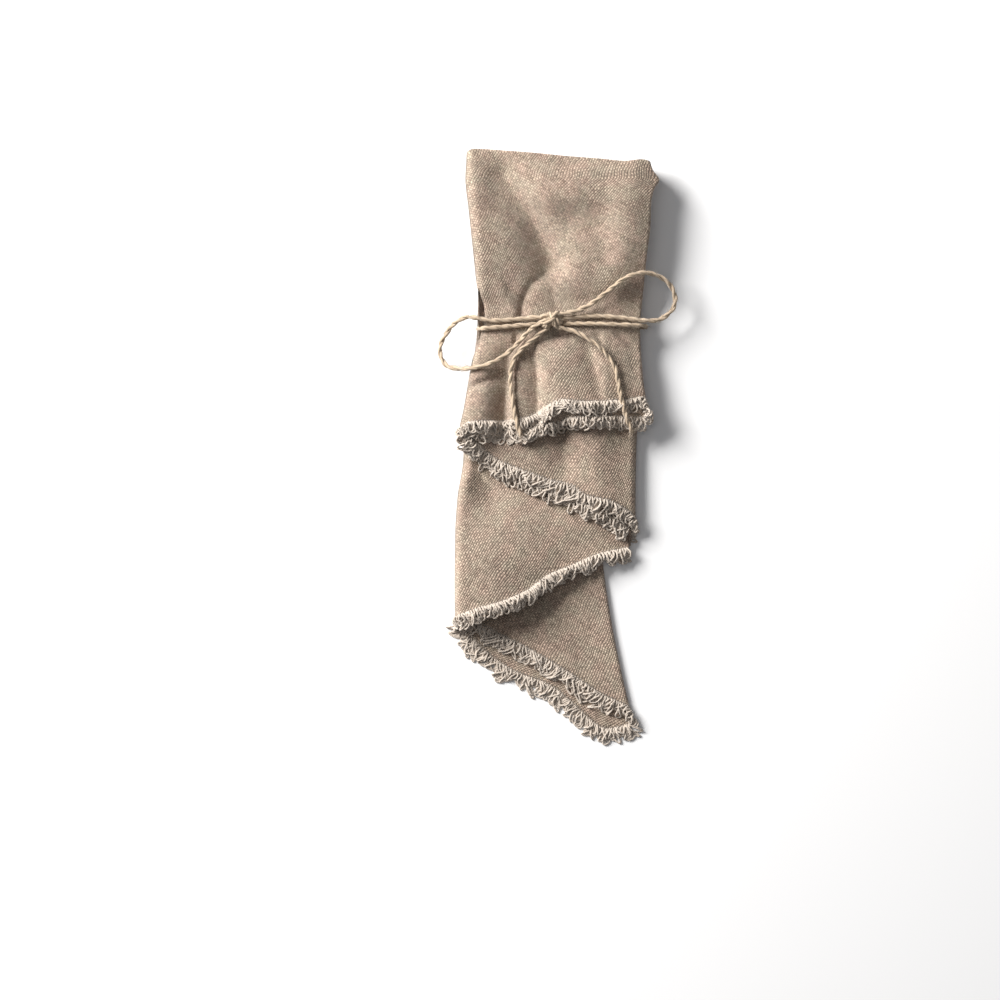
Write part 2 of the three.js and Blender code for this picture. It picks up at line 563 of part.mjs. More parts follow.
function twineMesh(name, route, material) {
  const path = new THREE.CatmullRomCurve3(
    route.map(([x, y, z]) => new THREE.Vector3(x, y, z)), false, 'centripetal');
  const outline = new THREE.Shape();
  for (let i = 0; i < TWINE_SIDES; i += 1) {
    const angle = (2 * Math.PI * i) / TWINE_SIDES;
    const [x, y] = [(TWINE / 2) * Math.cos(angle), (TWINE / 2) * Math.sin(angle)];
    if (i === 0) outline.moveTo(x, y);
    else outline.lineTo(x, y);
  }
  outline.closePath();
  const step = name === 'twine_band' ? BAND_STEP : BOW_STEP;
  const steps = Math.round(path.getLength() / step);
  const geometry = new THREE.ExtrudeGeometry(outline,
    { steps, bevelEnabled: false, extrudePath: path });
  const mesh = new THREE.Mesh(geometry, material);
  mesh.name = name;
  return mesh;
}

// The knot: a lump with a turn of twine round its middle
function knotMesh(material) {
  const lump = new THREE.IcosahedronGeometry(1, 1);
  lump.scale(KNOT_HALF[0], KNOT_HALF[1] * KNOT_LUMP, KNOT_HALF[2] * KNOT_LUMP);
  const turnRadius = KNOT_HALF[1] - TWINE / 2;
  const turn = new THREE.TorusGeometry(turnRadius, TWINE / 2, TWINE_SIDES, KNOT_TURN_STEPS);
  turn.rotateY(Math.PI / 2);
  turn.rotateZ(KNOT_TURN_SLANT);
  turn.scale(1, 1, KNOT_HALF[2] / KNOT_HALF[1]);
  const solid = solidFromGeometry(lump).add(solidFromGeometry(turn));
  const mesh = meshFromSolid('twine_knot', solid, material);
  mesh.position.set(...KNOT_CENTRE);
  return mesh;
}

const napkin = new THREE.Group();
const cloth = new THREE.MeshStandardMaterial({ color: CLOTH_COLOUR, roughness: 0.95 });
const fringe = new THREE.MeshStandardMaterial({ color: FRINGE_COLOUR, roughness: 0.95 });
const jute = new THREE.MeshStandardMaterial({ color: TWINE_COLOUR, roughness: 0.9 });

const ribbon = ribbonGrid();
napkin.add(napkinMesh(ribbon, cloth));
RUN_ROWS.forEach(([level], run) => {
  const part = { 0: '_right', 8: '_left' }[run] ?? '';
  napkin.add(fringeMesh(`fringe_${level}${part}`, ribbon, run, fringe));
});
napkin.add(knotMesh(jute));
for (const [name, route] of Object.entries(ROUTES)) napkin.add(twineMesh(name, route, jute));

export default napkin;
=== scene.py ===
# A cloth napkin with a looped fringe, folded in quarters, pleated into four layers and tied with
# jute twine in a bow. Lengths are millimetres, and become metres when a mesh is made, apart from
# the twine's routes, which are in metres.
import math

import bmesh
import bpy
import numpy as np
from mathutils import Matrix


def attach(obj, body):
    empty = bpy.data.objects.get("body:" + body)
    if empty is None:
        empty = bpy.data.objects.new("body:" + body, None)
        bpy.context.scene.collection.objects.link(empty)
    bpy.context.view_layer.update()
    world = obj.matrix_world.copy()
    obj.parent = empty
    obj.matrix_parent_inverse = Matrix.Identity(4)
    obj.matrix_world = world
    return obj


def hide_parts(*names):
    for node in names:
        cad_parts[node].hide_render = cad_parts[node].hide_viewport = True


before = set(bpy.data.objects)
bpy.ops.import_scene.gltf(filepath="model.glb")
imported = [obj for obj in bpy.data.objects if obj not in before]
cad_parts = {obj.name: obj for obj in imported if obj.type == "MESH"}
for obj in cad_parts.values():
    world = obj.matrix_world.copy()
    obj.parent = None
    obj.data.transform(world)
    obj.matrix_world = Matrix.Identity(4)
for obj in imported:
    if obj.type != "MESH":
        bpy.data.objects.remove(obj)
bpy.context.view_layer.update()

MM = 0.001
BODY = "root"

# Camera and studio
FRAME_WIDTH = 450.0  # what the photograph's side covers on the table
FRAME_MIDDLE = (-25.4, -23.4)
BUNDLE_HEIGHT = 20.0
LENS = 150.0
SENSOR = 36.0
FLOOR_SIDE = 6000.0
FLOOR_DROP = 0.02
FLOOR_COLOUR = (0.84, 0.83, 0.82)
FLOOR_ROUGHNESS = 0.9
WORLD_COLOUR = (0.93, 0.95, 1.0)
WORLD_STRENGTH = 0.21
# name, place, side and power in watts of each soft light
LIGHTS = [
    ("key_light", (-1120.0, 760.0, 800.0), 800.0, 64.0),
    ("fill_light", (-300.0, 200.0, 1900.0), 900.0, 3.0),
]

# The cloth's folds, as in the solids. Four layers show, A to D from the top. Each is two levels,
# from 8 at the top to 1 on the table.
LEVELS = 8
PLY = 1.1
TIE_Y = 54.5
TIE_RAISE = 2.6  # how high the twine under the bundle lifts it
TIE_RAISE_REACH = 9.0
TIE_GRIP = 14.0  # how far from the tie the folds are full
DROP_RUN = 18.0  # over which the upper levels sink past layer D's right edge
BUTT_X = -16.0
BUTT_GAP = 1.2
TOP_INSET = 0.4  # how much further in the top edge of each lower level lies
TWINE = 2.1

# A row for each section across the bundle: y, the layers' left and right folds or edges there, and
# the rise from one level to the next
SECTION_COLUMNS = ("y", "leftAB", "leftCD", "rightA", "rightBC", "rightD", "pitch")
SECTION_ROWS = [
    (134.0, -40.2, -39.2, 41.5, 40.0, 33.0, 1.70),
    (128.0, -40.6, -39.6, 42.2, 40.8, 33.0, 1.95),
    (124.5, -40.9, -39.8, 43.4, 41.0, 33.0, 2.15),
    (120.5, -41.0, -39.9, 46.2, 41.0, 33.0, 2.30),
    (116.5, -40.7, -39.7, 43.9, 40.8, 32.5, 2.42),
    (110.0, -39.9, -38.9, 42.5, 40.6, 32.0, 2.52),
    (100.0, -38.8, -37.8, 42.2, 40.3, 31.0, 2.52),
    (85.0, -37.2, -36.2, 40.4, 39.0, 29.0, 2.40),
    (72.0, -35.8, -34.8, 39.2, 37.8, 26.5, 2.05),
    (62.0, -33.3, -32.3, 38.2, 36.8, 23.5, 1.55),
    (54.5, -32.3, -31.5, 37.6, 36.2, 22.0, 1.37),
    (48.0, -34.6, -33.5, 37.8, 36.4, 20.5, 1.60),
    (40.0, -37.7, -36.4, 38.3, 36.8, 19.0, 1.95),
    (30.0, -39.6, -38.3, 39.1, 37.2, 17.5, 2.15),
    (18.0, -41.7, -40.4, 41.0, 37.3, 16.5, 2.20),
    (6.0, -44.0, -41.7, 42.5, 36.4, 16.0, 2.10),
    (-6.0, -44.5, -42.0, 42.5, 36.0, 16.0, 2.00),
    (-22.0, -44.5, -44.6, 42.5, 35.8, 17.4, 1.95),
    (-40.0, -44.5, -45.7, 42.5, 35.8, 19.6, 1.90),
    (-60.0, -44.5, -45.9, 42.5, 35.8, 22.1, 1.85),
    (-80.0, -44.5, -45.8, 42.5, 35.8, 25.2, 1.80),
    (-100.0, -44.5, -45.5, 42.5, 35.8, 29.2, 1.70),
    (-118.0, -44.5, -45.0, 42.5, 35.8, 33.3, 1.62),
    (-134.0, -44.5, -45.0, 42.5, 35.8, 36.6, 1.58),
]

# The folded top edge of the top level: x and y
TOP_EDGE = [
    (-41.0, 131.6), (-40.0, 133.3), (-38.0, 133.9), (-20.0, 132.8), (-9.0, 131.9),
    (5.0, 130.5), (20.0, 129.3), (31.0, 128.3), (38.5, 129.1), (42.0, 128.4), (46.0, 126.0),
]

# The cloth's hem on each level: x and y
HEMS = {
    8: [(-43.0, 9.9), (-33.5, 11.2), (-25.4, 11.2), (-13.7, 12.6), (-6.5, 16.2), (2.0, 20.7),
        (12.8, 19.8), (28.6, 20.7), (41.2, 22.5)],
    7: [(-43.0, 9.0), (-30.0, 8.1), (-18.7, 7.2), (-8.8, 9.0), (1.6, 12.2), (12.8, 13.5),
        (28.6, 13.5), (42.1, 12.6)],
    6: [(-42.5, 6.5), (-38.9, 3.6), (-25.4, -6.8), (-11.5, -12.2), (-4.7, -14.8), (6.5, -17.6),
        (13.7, -22.5), (22.7, -24.3), (34.4, -30.6)],
    5: [(-42.5, 4.5), (-38.9, 1.8), (-25.4, -8.6), (-11.5, -14.9), (6.5, -22.0), (22.7, -30.5),
        (35.8, -39.6)],
    4: [(-43.0, -75.6), (-34.4, -72.5), (-25.9, -70.2), (-13.7, -65.2), (-2.9, -57.6),
        (5.2, -54.4), (20.5, -48.2), (35.8, -45.2)],
    3: [(-43.0, -71.0), (-34.4, -67.0), (-13.7, -58.5), (5.2, -48.0), (20.5, -42.0),
        (35.8, -38.5)],
    2: [(-42.5, -74.7), (-34.4, -79.2), (-25.9, -84.6), (-13.7, -90.9), (-2.7, -97.2),
        (7.4, -103.5), (20.5, -112.0), (32.2, -117.4)],
    1: [(-44.0, -78.5), (-38.2, -86.2), (-27.2, -96.8), (-15.1, -103.3), (-4.7, -107.1),
        (7.2, -116.0), (14.0, -122.8), (22.3, -127.8), (33.0, -125.6)],
}

# Troughs and ridges of the top level, in which the levels below share by their height: the line
# that each follows, how wide it is on the left and on the right of someone who walks along that
# line, and its rise at the line's start and end
FOLDS = [
    ([(-24.0, 122.0), (-12.0, 104.0), (-2.0, 83.5)], 6.5, 9.5, -6.0, -8.8),
    ([(6.0, 104.0), (19.0, 105.0)], 8.5, 14.0, -3.8, -3.8),
    ([(18.0, 98.0), (23.0, 88.0)], 5.0, 5.0, -1.4, -1.4),
    ([(-6.0, 106.0), (2.0, 92.0), (12.0, 80.0)], 6.0, 8.0, 0.5, 0.4),
    ([(-36.0, 118.0), (-33.0, 72.0)], 5.5, 5.5, 1.0, 0.8),
    ([(30.0, 110.0), (27.0, 88.0), (22.0, 73.0)], 5.0, 5.0, 0.8, 0.8),
    ([(4.0, 68.0), (18.0, 65.0)], 6.0, 6.0, -1.2, -1.4),
    ([(25.0, 66.0), (35.0, 64.0)], 5.5, 5.5, -1.6, -2.0),
    ([(-21.5, 45.0), (-22.6, 30.6), (-24.0, 8.0)], 3.0, 5.2, -3.2, -6.2),
    ([(-14.2, 51.3), (-11.0, 43.2), (-8.8, 32.9), (-8.3, 14.0)], 2.0, 4.6, -3.0, -4.0),
    ([(0.5, 44.0), (1.0, 22.0)], 8.0, 8.0, 1.6, 1.0),
    ([(12.4, 50.8), (18.2, 31.5), (19.6, 20.0)], 2.6, 4.8, -2.8, -1.6),
    ([(-27.5, 49.0), (-33.5, 36.0)], 5.0, 5.0, 1.3, 1.0),
    ([(-33.0, 28.0), (-34.5, 13.0)], 4.5, 4.5, 1.2, 1.0),
    ([(29.0, 50.0), (33.0, 24.0)], 5.0, 5.0, 1.2, 1.0),
    ([(2.0, 10.0), (3.8, -9.0)], 6.5, 6.5, -6.8, -2.6),
    ([(-33.0, -6.0), (-30.0, -22.0)], 8.0, 6.0, -5.6, -4.6),
    ([(22.0, -40.0), (27.0, -46.0)], 6.0, 6.0, -3.5, -3.5),
]

# Narrower creases, which only the cloth here has, in the same columns
CREASES = [
    ([(-25.4, 73.4), (-18.7, 59.9)], 1.7, 4.0, 1.0, 0.8),
    ([(-5.2, 77.9), (-11.9, 73.4), (-15.1, 66.6), (-16.4, 58.5)], 2.2, 1.8, -1.0, -1.9),
    ([(-2.0, 71.0), (0.0, 61.0)], 3.0, 3.0, -1.0, -1.0),
    ([(-18.6, 53.0), (-18.2, 46.5)], 1.2, 1.2, -2.2, -1.6),
    ([(-38.9, 26.1), (-34.4, 29.3), (-27.7, 31.5)], 1.1, 3.0, -1.8, -1.6),
    ([(25.0, 53.1), (36.2, 43.2)], 1.2, 1.6, -1.5, -0.9),
    ([(17.3, 52.5), (20.0, 46.8)], 1.2, 1.2, -1.0, -0.7),
    ([(-7.0, 50.8), (5.5, 50.3)], 2.4, 1.8, -2.6, -2.2),
]
CREASE_FREE = (1.2, 4.0)  # how far from the tie's line the narrow creases begin and are full

# Layer C's left fold stands high off layer D: how much, and where that begins and is full
LIFT = 8.0
LIFT_DOWN = (-15.0, -55.0)
LIFT_ACROSS = (18.0, -33.0)
TIGHTEST_PITCH = 1.14  # what a trough leaves between two levels at least

# Smaller places where layers stand off: all levels above this one, the middle of the place, its
# reach across and along the bundle, and how much
STAND_OFFS = [
    (6, 3.0, 12.0, 12.0, 10.0, 4.5),
    (4, -42.0, 2.0, 15.0, 13.0, 3.2),
    (2, -47.0, -13.0, 10.0, 14.0, 4.5),
]

# The ribbon from its one hidden end to the other: a row for each run, the fold or edge at its
# two ends and its number of stations, then the stations of the turn that follows it
RUN_ROWS = [
    (7, "butt", "rightA", 18, 7),
    (8, "rightA", "leftAB", 96, 11),
    (5, "leftAB", "rightBC", 18, 4),
    (4, "rightBC", "leftCD", 56, 11),
    (1, "leftCD", "rightD", 22, 7),
    (2, "rightD", "leftCD", 54, 4),
    (3, "leftCD", "rightBC", 12, 11),
    (6, "rightBC", "leftAB", 58, 4),
    (7, "leftAB", "butt", 8, 0),
]
BUTT_PARTS = {0: "_right", 8: "_left"}  # the runs of level 7, which meet at the hidden ends
TURN_SPAN = {"leftAB": 3, "leftCD": 3, "rightA": 1, "rightBC": 3, "rightD": 1}
INNER_TURNS = ((5, 4), (2, 3), (6, 7))  # nested in another turn, so without fringe

# Rows of the mesh down the bundle: their number, then for the layers from D to A the y where they
# get denser and the share of them above it
ROWS = 121
ROW_SPLITS = [(-40.0, 0.45), (0.0, 0.4), (28.0, 0.4), (75.0, 0.5)]
NEAR_TOP = 128.0
HEM_FIRST_GUESS = -40.0
HEM_TRIES = 12

# Each ply is two sheets, folded over each other at the top edge
SHEET_OUT = PLY / 2
SHEET_IN = 0.07
SHEETS_PART = 3  # how much further apart they are in the puffed top edge
TOP_PUFF = 0.3
TOP_PUFF_REACH = 5.0
TOP_ARC = (45, 90, 135)
COARSE = 2  # the hidden faces take every second station and row

# The first seed of each kind of unevenness. The last three are added to another one.
SEEDS = {"surface": 11, "loft": 20, "twine": 30, "fibres": 60, "brush": 90, "knot_strands": 120,
         "knot_turns": 140, "knot_fibres": 160, "fringe": 200, "bunch": 500, "offset": 7, "thickness": 17}

# Gentle unevenness: how high the cloth waves, and the waves' lengths
WAVE_RISE = 0.3
WAVE_LENGTHS = (22.0, 60.0)
FOLD_POWER = 1.7  # how round the bottom of a trough is
SIDE_BLEND = 3.0  # how soon a fold's width changes from one side of its line to the other
WAVE_COUNT = 9
WAVE_PEAK = 1.6  # what their sum is divided by to stay within about 1
LOFT_SHARE = 0.32  # share of the air between two levels by which a level wanders
LOFT_KEEP = 0.2  # air that always stays between them
LOFT_LENGTHS = (28.0, 75.0)

# Yarn loops of the fringe, and the zigzag stitch above them
LOOP_PITCH = 1.25
LOOP_JITTER = 0.45  # how far a loop may stray from its even place, as a share of the pitch
LOOP_LENGTH = {8: 4.4, 7: 4.8, 6: 4.7, 5: 4.8, 4: 4.8, 3: 4.5, 2: 5.2, 1: 5.1}
LOOP_YARN = 0.42
LOOP_SHORT = 0.72  # the upper sheet's loops are shorter than the lower sheet's
LOOP_RINGS = 15
LOOP_SIDES = 6
LOOP_ROOT = 1.0  # how far the loop's legs reach back into the cloth
LOOP_FREE = 0.2  # from how far out a loop keeps off the cloth
LOOP_FOOT = 0.36  # half the way between a loop's legs at the hem
LOOP_BELLY = 0.8
LOOP_WIDTH = (0.9, 1.8)
LOOP_ROUND = 0.8
LOOP_RISE = 0.6
LOOP_RISE_SPREAD = (-0.5, 0.9)
LOOP_UPPER_RISE = 0.4  # how much higher the upper sheet's loops rise
LOOP_UPPER_SPREAD = (0.75, 1.25)
LOOP_LOWEST_RISE = 0.5  # the lowest level's share of that rise
LOOP_DROOP = 0.25
CRIMP = 0.12
CRIMP_WAVES = 9
CRIMP_STARTS = (0, 6.28)  # in radians
ARCH_SHORT = 1.1  # a loop's arch comes down this much before its tip
# How uneven the loops are: the part that neighbours share, and each loop's own
LEAN = (0.55, 0.6)
CURL = (0.5, 0.8)
LENGTH_SPREAD = (0.2, 0.3)
TWIST = (0.7, 1.1)
BUNCH_LENGTHS = (5.0, 17.0)
BUNCH_SHIFT = 300  # parts the waves of the lean, curl, length and twist
TURN_CALM = 0.35  # how much of that is left where a level turns into the next
ON_TURN = 0.01  # a place turned by more than this share lies on a turn
ABOVE_TABLE = 0.02
NO_CLOTH = 1e3  # the height of cloth above where there is none
STITCH_PITCH = 1.5
STITCH_REACH = (0.3, 1.9)
STITCH_YARN = 0.17
STITCH_SINK = 0.7  # how high the stitch's middle lies on the cloth, as a share of its radius
STITCH_SIDES = 5

# Twine
PLY_PITCH = 10.5
PLY_OFFSET = 0.22  # of the twine's thickness, from its middle to the middle of each of its plies
PLY_THICK = 0.32
PLY_SIDES = 8
PLY_WANDER = 0.5  # how unevenly the plies turn, in radians
PLY_START = 0.2
PLY_WANDER_LENGTHS = (9.0, 30.0)
OFFSET_UNEVEN = 0.10
OFFSET_LENGTHS = (3.0, 16.0)
THICKNESS_UNEVEN = 0.14
THICKNESS_LENGTHS = (2.5, 14.0)
END_TAPER = 2.0  # over which a bare end grows thin
END_THIN = 0.3
TWINE_STEP = 0.55
FIBRE_STEP = 0.34
FIBRE_THICK = 0.07
FIBRE_REACH = (0.8, 3.1)
FIBRE_SLOPE = (0.15, 0.6)
FIBRE_BEND = 0.5
FIBRE_CURVE = 1.4  # the power by which a fibre rises
FIBRE_TAPER = 0.7
FIBRE_ROOT = 0.42  # of the twine's thickness
FIBRE_POINTS = 5
FIBRE_SIDES = 3
FIBRE_LOWEST = 0.1
BRUSH_COUNT = 26  # the loose fibres of a bare end
BRUSH_REACH = (1.2, 3.4)
BRUSH_SLOPE = (0.15, 0.8)
BRUSH_STEPS = 6

# The twine's routes, in metres: x, y and z, each from the knot outwards
ROUTES = {
    "twine_band": [
        (-0.0068, 0.0559, 0.0151), (-0.0110, 0.0554, 0.01495), (-0.0200, 0.0547, 0.01505),
        (-0.0280, 0.0540, 0.01525), (-0.0329, 0.0537, 0.01475), (-0.0348, 0.0536, 0.0120),
        (-0.0350, 0.0536, 0.0080), (-0.0344, 0.0537, 0.0040), (-0.0315, 0.0538, 0.0016),
        (-0.0270, 0.0539, 0.00115), (-0.0100, 0.0542, 0.00115), (0.0120, 0.0544, 0.00115),
        (0.0310, 0.0546, 0.0012), (0.0365, 0.0546, 0.0018), (0.0396, 0.0547, 0.0042),
        (0.0402, 0.0548, 0.0080), (0.0389, 0.0549, 0.0118), (0.0352, 0.0551, 0.01385),
        (0.0290, 0.0553, 0.01465), (0.0190, 0.0556, 0.01505), (0.0100, 0.0557, 0.0151),
        (0.0027, 0.0557, 0.0148),
    ],
    "twine_loop_left": [
        (-0.0066, 0.0585, 0.0168), (-0.0110, 0.0584, 0.0160), (-0.0165, 0.0579, 0.0152),
        (-0.0230, 0.0573, 0.0150), (-0.0300, 0.0572, 0.0152), (-0.0360, 0.0584, 0.0148),
        (-0.0410, 0.0586, 0.0136), (-0.0456, 0.0562, 0.0120), (-0.0492, 0.0520, 0.0104),
        (-0.0519, 0.0472, 0.0094), (-0.0522, 0.0416, 0.0094), (-0.0496, 0.0373, 0.0106),
        (-0.0446, 0.0356, 0.0134), (-0.0390, 0.0357, 0.0165), (-0.0324, 0.0369, 0.0181),
        (-0.0262, 0.0396, 0.0173), (-0.0204, 0.0440, 0.0162), (-0.0164, 0.0480, 0.0162),
        (-0.0126, 0.0522, 0.0169), (-0.0073, 0.0560, 0.0175),
    ],
    "twine_loop_right": [
        (0.0009, 0.0596, 0.0176), (0.0084, 0.0612, 0.0170), (0.0142, 0.0638, 0.0168),
        (0.0200, 0.0680, 0.0172), (0.0254, 0.0722, 0.0180), (0.0310, 0.0762, 0.0184),
        (0.0362, 0.0781, 0.0178), (0.0412, 0.0784, 0.0160), (0.0466, 0.0768, 0.0138),
        (0.0510, 0.0732, 0.0120), (0.0532, 0.0686, 0.0110), (0.0528, 0.0636, 0.0110),
        (0.0496, 0.0596, 0.0114), (0.0450, 0.0574, 0.0122), (0.0392, 0.0572, 0.0134),
        (0.0330, 0.0580, 0.0142), (0.0254, 0.0588, 0.0149), (0.0174, 0.0591, 0.0149),
        (0.0096, 0.0588, 0.0153), (0.0024, 0.0579, 0.0160),
    ],
    "twine_tail_left": [
        (-0.0044, 0.0536, 0.0162), (-0.0082, 0.0506, 0.0156), (-0.0126, 0.0469, 0.0157),
        (-0.0168, 0.0430, 0.0160), (-0.0194, 0.0392, 0.0162), (-0.0205, 0.0350, 0.0164),
        (-0.0206, 0.0290, 0.0168), (-0.0199, 0.0220, 0.0172), (-0.0189, 0.0155, 0.0175),
        (-0.0176, 0.0100, 0.0174), (-0.0159, 0.0048, 0.0165),
    ],
    "twine_tail_right": [
        (0.0009, 0.0540, 0.0166), (0.0054, 0.0530, 0.0164), (0.0102, 0.0512, 0.0166),
        (0.0155, 0.0480, 0.0168), (0.0202, 0.0444, 0.0164), (0.0240, 0.0398, 0.0158),
        (0.0264, 0.0352, 0.0157), (0.0276, 0.0298, 0.0155), (0.0286, 0.0242, 0.0154),
        (0.0306, 0.0164, 0.0150), (0.0326, 0.0106, 0.0134), (0.0342, 0.0062, 0.0112),
    ],
}
FAR_ENDS = {"twine_tail_left": "bare", "twine_tail_right": "bare"}  # the others end on the object


# Small tools for curves and meshes

FIRST_SIDE = (0.31, 0.17, 0.93)  # about which way a tube's first side faces
TWINE_OVER = (0.2, 0.3, 1.0)
CURVE_STEPS = 24
TINY = 1e-9


def smooth_through(points):
    """A smooth curve through points with rising abscissa, which never overshoots them."""
    ordered = np.array(sorted(points), float)
    xs, ys = ordered[:, 0], ordered[:, 1]
    slope = np.diff(ys) / np.diff(xs)
    product = slope[:-1] * slope[1:]
    total = np.where(product > 0, slope[:-1] + slope[1:], 1.0)
    tangent = np.concatenate([slope[:1], np.where(product > 0, 2 * product / total, 0), slope[-1:]])

    def value(at):
        at = np.clip(np.asarray(at, float), xs[0], xs[-1])
        i = np.clip(np.searchsorted(xs, at, side="right") - 1, 0, len(xs) - 2)
        width = xs[i + 1] - xs[i]
        t = (at - xs[i]) / width
        return (ys[i] * (1 + 2 * t) * (1 - t) ** 2 + tangent[i] * width * t * (1 - t) ** 2
                + ys[i + 1] * t * t * (3 - 2 * t) + tangent[i + 1] * width * t * t * (t - 1))

    return value


def smoothstep(t):
    """Smoothly from 0 at 0 to 1 at 1."""
    t = np.clip(t, 0, 1)
    return t * t * (3 - 2 * t)


def ramp(value, begins, full):
    """Smoothly from 0 where the value begins to 1 where it is full."""
    return smoothstep((value - begins) / (full - begins))


def unit(vectors):
    return vectors / np.maximum(np.linalg.norm(vectors, axis=-1, keepdims=True), 1e-12)


def waves(seed, lengths):
    """A smooth uneven function of x and y from about -1 to 1, the same on each run."""
    draw = np.random.RandomState(seed)
    number = 2 * math.pi / draw.uniform(*lengths, WAVE_COUNT)
    angle = draw.uniform(0, 2 * math.pi, WAVE_COUNT)
    phase = draw.uniform(0, 2 * math.pi, WAVE_COUNT)

    def value(x, y=0.0):
        x, y = np.asarray(x, float), np.asarray(y, float)
        turns = number * np.cos(angle) * x[..., None] + number * np.sin(angle) * y[..., None]
        return np.sin(turns + phase).sum(-1) / math.sqrt(WAVE_COUNT) / WAVE_PEAK

    return value


def run_along(lines):
    """The length along lines[..., point, :] at each of their points."""
    steps = np.linalg.norm(np.diff(lines, axis=-2), axis=-1)
    return np.cumsum(np.concatenate([np.zeros_like(steps[..., :1]), steps], -1), -1)


def frames_along(lines, side):
    """The ways along lines[..., point, :], and two ways across them that don't spin about them, of
    which the first begins towards that side."""
    along = unit(np.gradient(lines, axis=-2))
    across = np.zeros_like(lines)
    carried = np.broadcast_to(side, lines[..., 0, :].shape)
    for i in range(lines.shape[-2]):
        way = along[..., i, :]
        carried = unit(carried - way * (carried * way).sum(-1, keepdims=True))
        across[..., i, :] = carried
    return along, across, np.cross(along, across)


def placed(name, data):
    """A new object in the scene."""
    made = bpy.data.objects.new(name, data)
    bpy.context.scene.collection.objects.link(made)
    return made


def new_object(name, shape, material, slot=None):
    """A smooth mesh from its vertices in millimetres, its faces, and a uv pair in metres for each
    vertex or None. A mesh with a slot is a piece of the bundle."""
    vertices, faces, uv = shape
    mesh = bpy.data.meshes.new(name)
    mesh.from_pydata(np.asarray(vertices) * MM, [], faces)
    mesh.polygons.foreach_set("use_smooth", np.ones(len(mesh.polygons), bool))
    if uv is not None:
        corners = np.zeros(len(mesh.loops), np.int32)
        mesh.loops.foreach_get("vertex_index", corners)
        layer = mesh.uv_layers.new(name="UVMap")
        layer.data.foreach_set("uv", np.asarray(uv, np.float32)[corners].ravel())
    mesh.materials.append(material)
    made = placed(name, mesh)
    if slot:
        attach(made, BODY)
    return made


def tubes(lines, radii, sides):
    """Vertices, faces and uv of round tubes along lines[tube, ring], with flat ends."""
    count, rings = lines.shape[:2]
    _, across, over = frames_along(lines, FIRST_SIDE)
    angle = np.arange(sides) * 2 * math.pi / sides
    ring = (across[:, :, None] * np.cos(angle)[:, None] + over[:, :, None] * np.sin(angle)[:, None])
    points = lines[:, :, None] + ring * np.broadcast_to(radii, (count, rings))[:, :, None, None]
    index = np.arange(count * rings * sides).reshape(count, rings, sides)
    beside = np.roll(index, -1, axis=2)
    walls = np.stack([index[:, :-1], beside[:, :-1], beside[:, 1:], index[:, 1:]], -1)
    faces = walls.reshape(-1, 4).tolist()
    faces += index[:, 0, ::-1].tolist()
    faces += index[:, -1].tolist()
    uv = np.stack(np.broadcast_arrays(angle / (2 * math.pi), run_along(lines)[..., None] * MM), -1)
    uv[..., 0] += np.arange(count)[:, None, None]
    return points.reshape(-1, 3), faces, uv.reshape(-1, 2)


def joined(parts):
    """Several (vertices, faces, uv) as one."""
    vertices, faces, uv, start = [], [], [], 0
    for points, corners, places in parts:
        vertices.append(points)
        faces += [[c + start for c in face] for face in corners]
        uv.append(places)
        start += len(points)
    return np.concatenate(vertices), faces, np.concatenate(uv)


def catmull_rom(points, step):
    """The centripetal Catmull-Rom curve that the solids follow, with even steps of that length."""
    points = np.asarray(points, float)
    padded = np.vstack([2 * points[0] - points[1], points, 2 * points[-1] - points[-2]])
    fine = []
    for i in range(len(points) - 1):
        p0, p1, p2, p3 = padded[i:i + 4]
        d0, d1, d2 = (max(np.linalg.norm(b - a), TINY) ** 0.5 for a, b in ((p0, p1), (p1, p2), (p2, p3)))
        m1 = ((p1 - p0) / d0 - (p2 - p0) / (d0 + d1) + (p2 - p1) / d1) * d1
        m2 = ((p2 - p1) / d1 - (p3 - p1) / (d1 + d2) + (p3 - p2) / d2) * d1
        t = np.linspace(0, 1, CURVE_STEPS, endpoint=False)[:, None]
        fine.append((2 * t ** 3 - 3 * t ** 2 + 1) * p1 + (t ** 3 - 2 * t ** 2 + t) * m1
                    + (3 * t ** 2 - 2 * t ** 3) * p2 + (t ** 3 - t ** 2) * m2)
    fine = np.vstack(fine + [points[-1:]])
    run = run_along(fine)
    at = np.linspace(0, run[-1], max(int(round(run[-1] / step)), 2) + 1)
    return np.stack([np.interp(at, run, fine[:, k]) for k in range(3)], -1)


# The cloth's shape

section = {name: smooth_through([(row[0], row[i + 1]) for row in SECTION_ROWS])
           for i, name in enumerate(SECTION_COLUMNS[1:])}
top_edge = smooth_through(TOP_EDGE)
hem = {level: smooth_through(points) for level, points in HEMS.items()}
surface_waves = waves(SEEDS["surface"], WAVE_LENGTHS)
loft_waves = {level: waves(SEEDS["loft"] + level, LOFT_LENGTHS) for level in range(1, LEVELS + 1)}


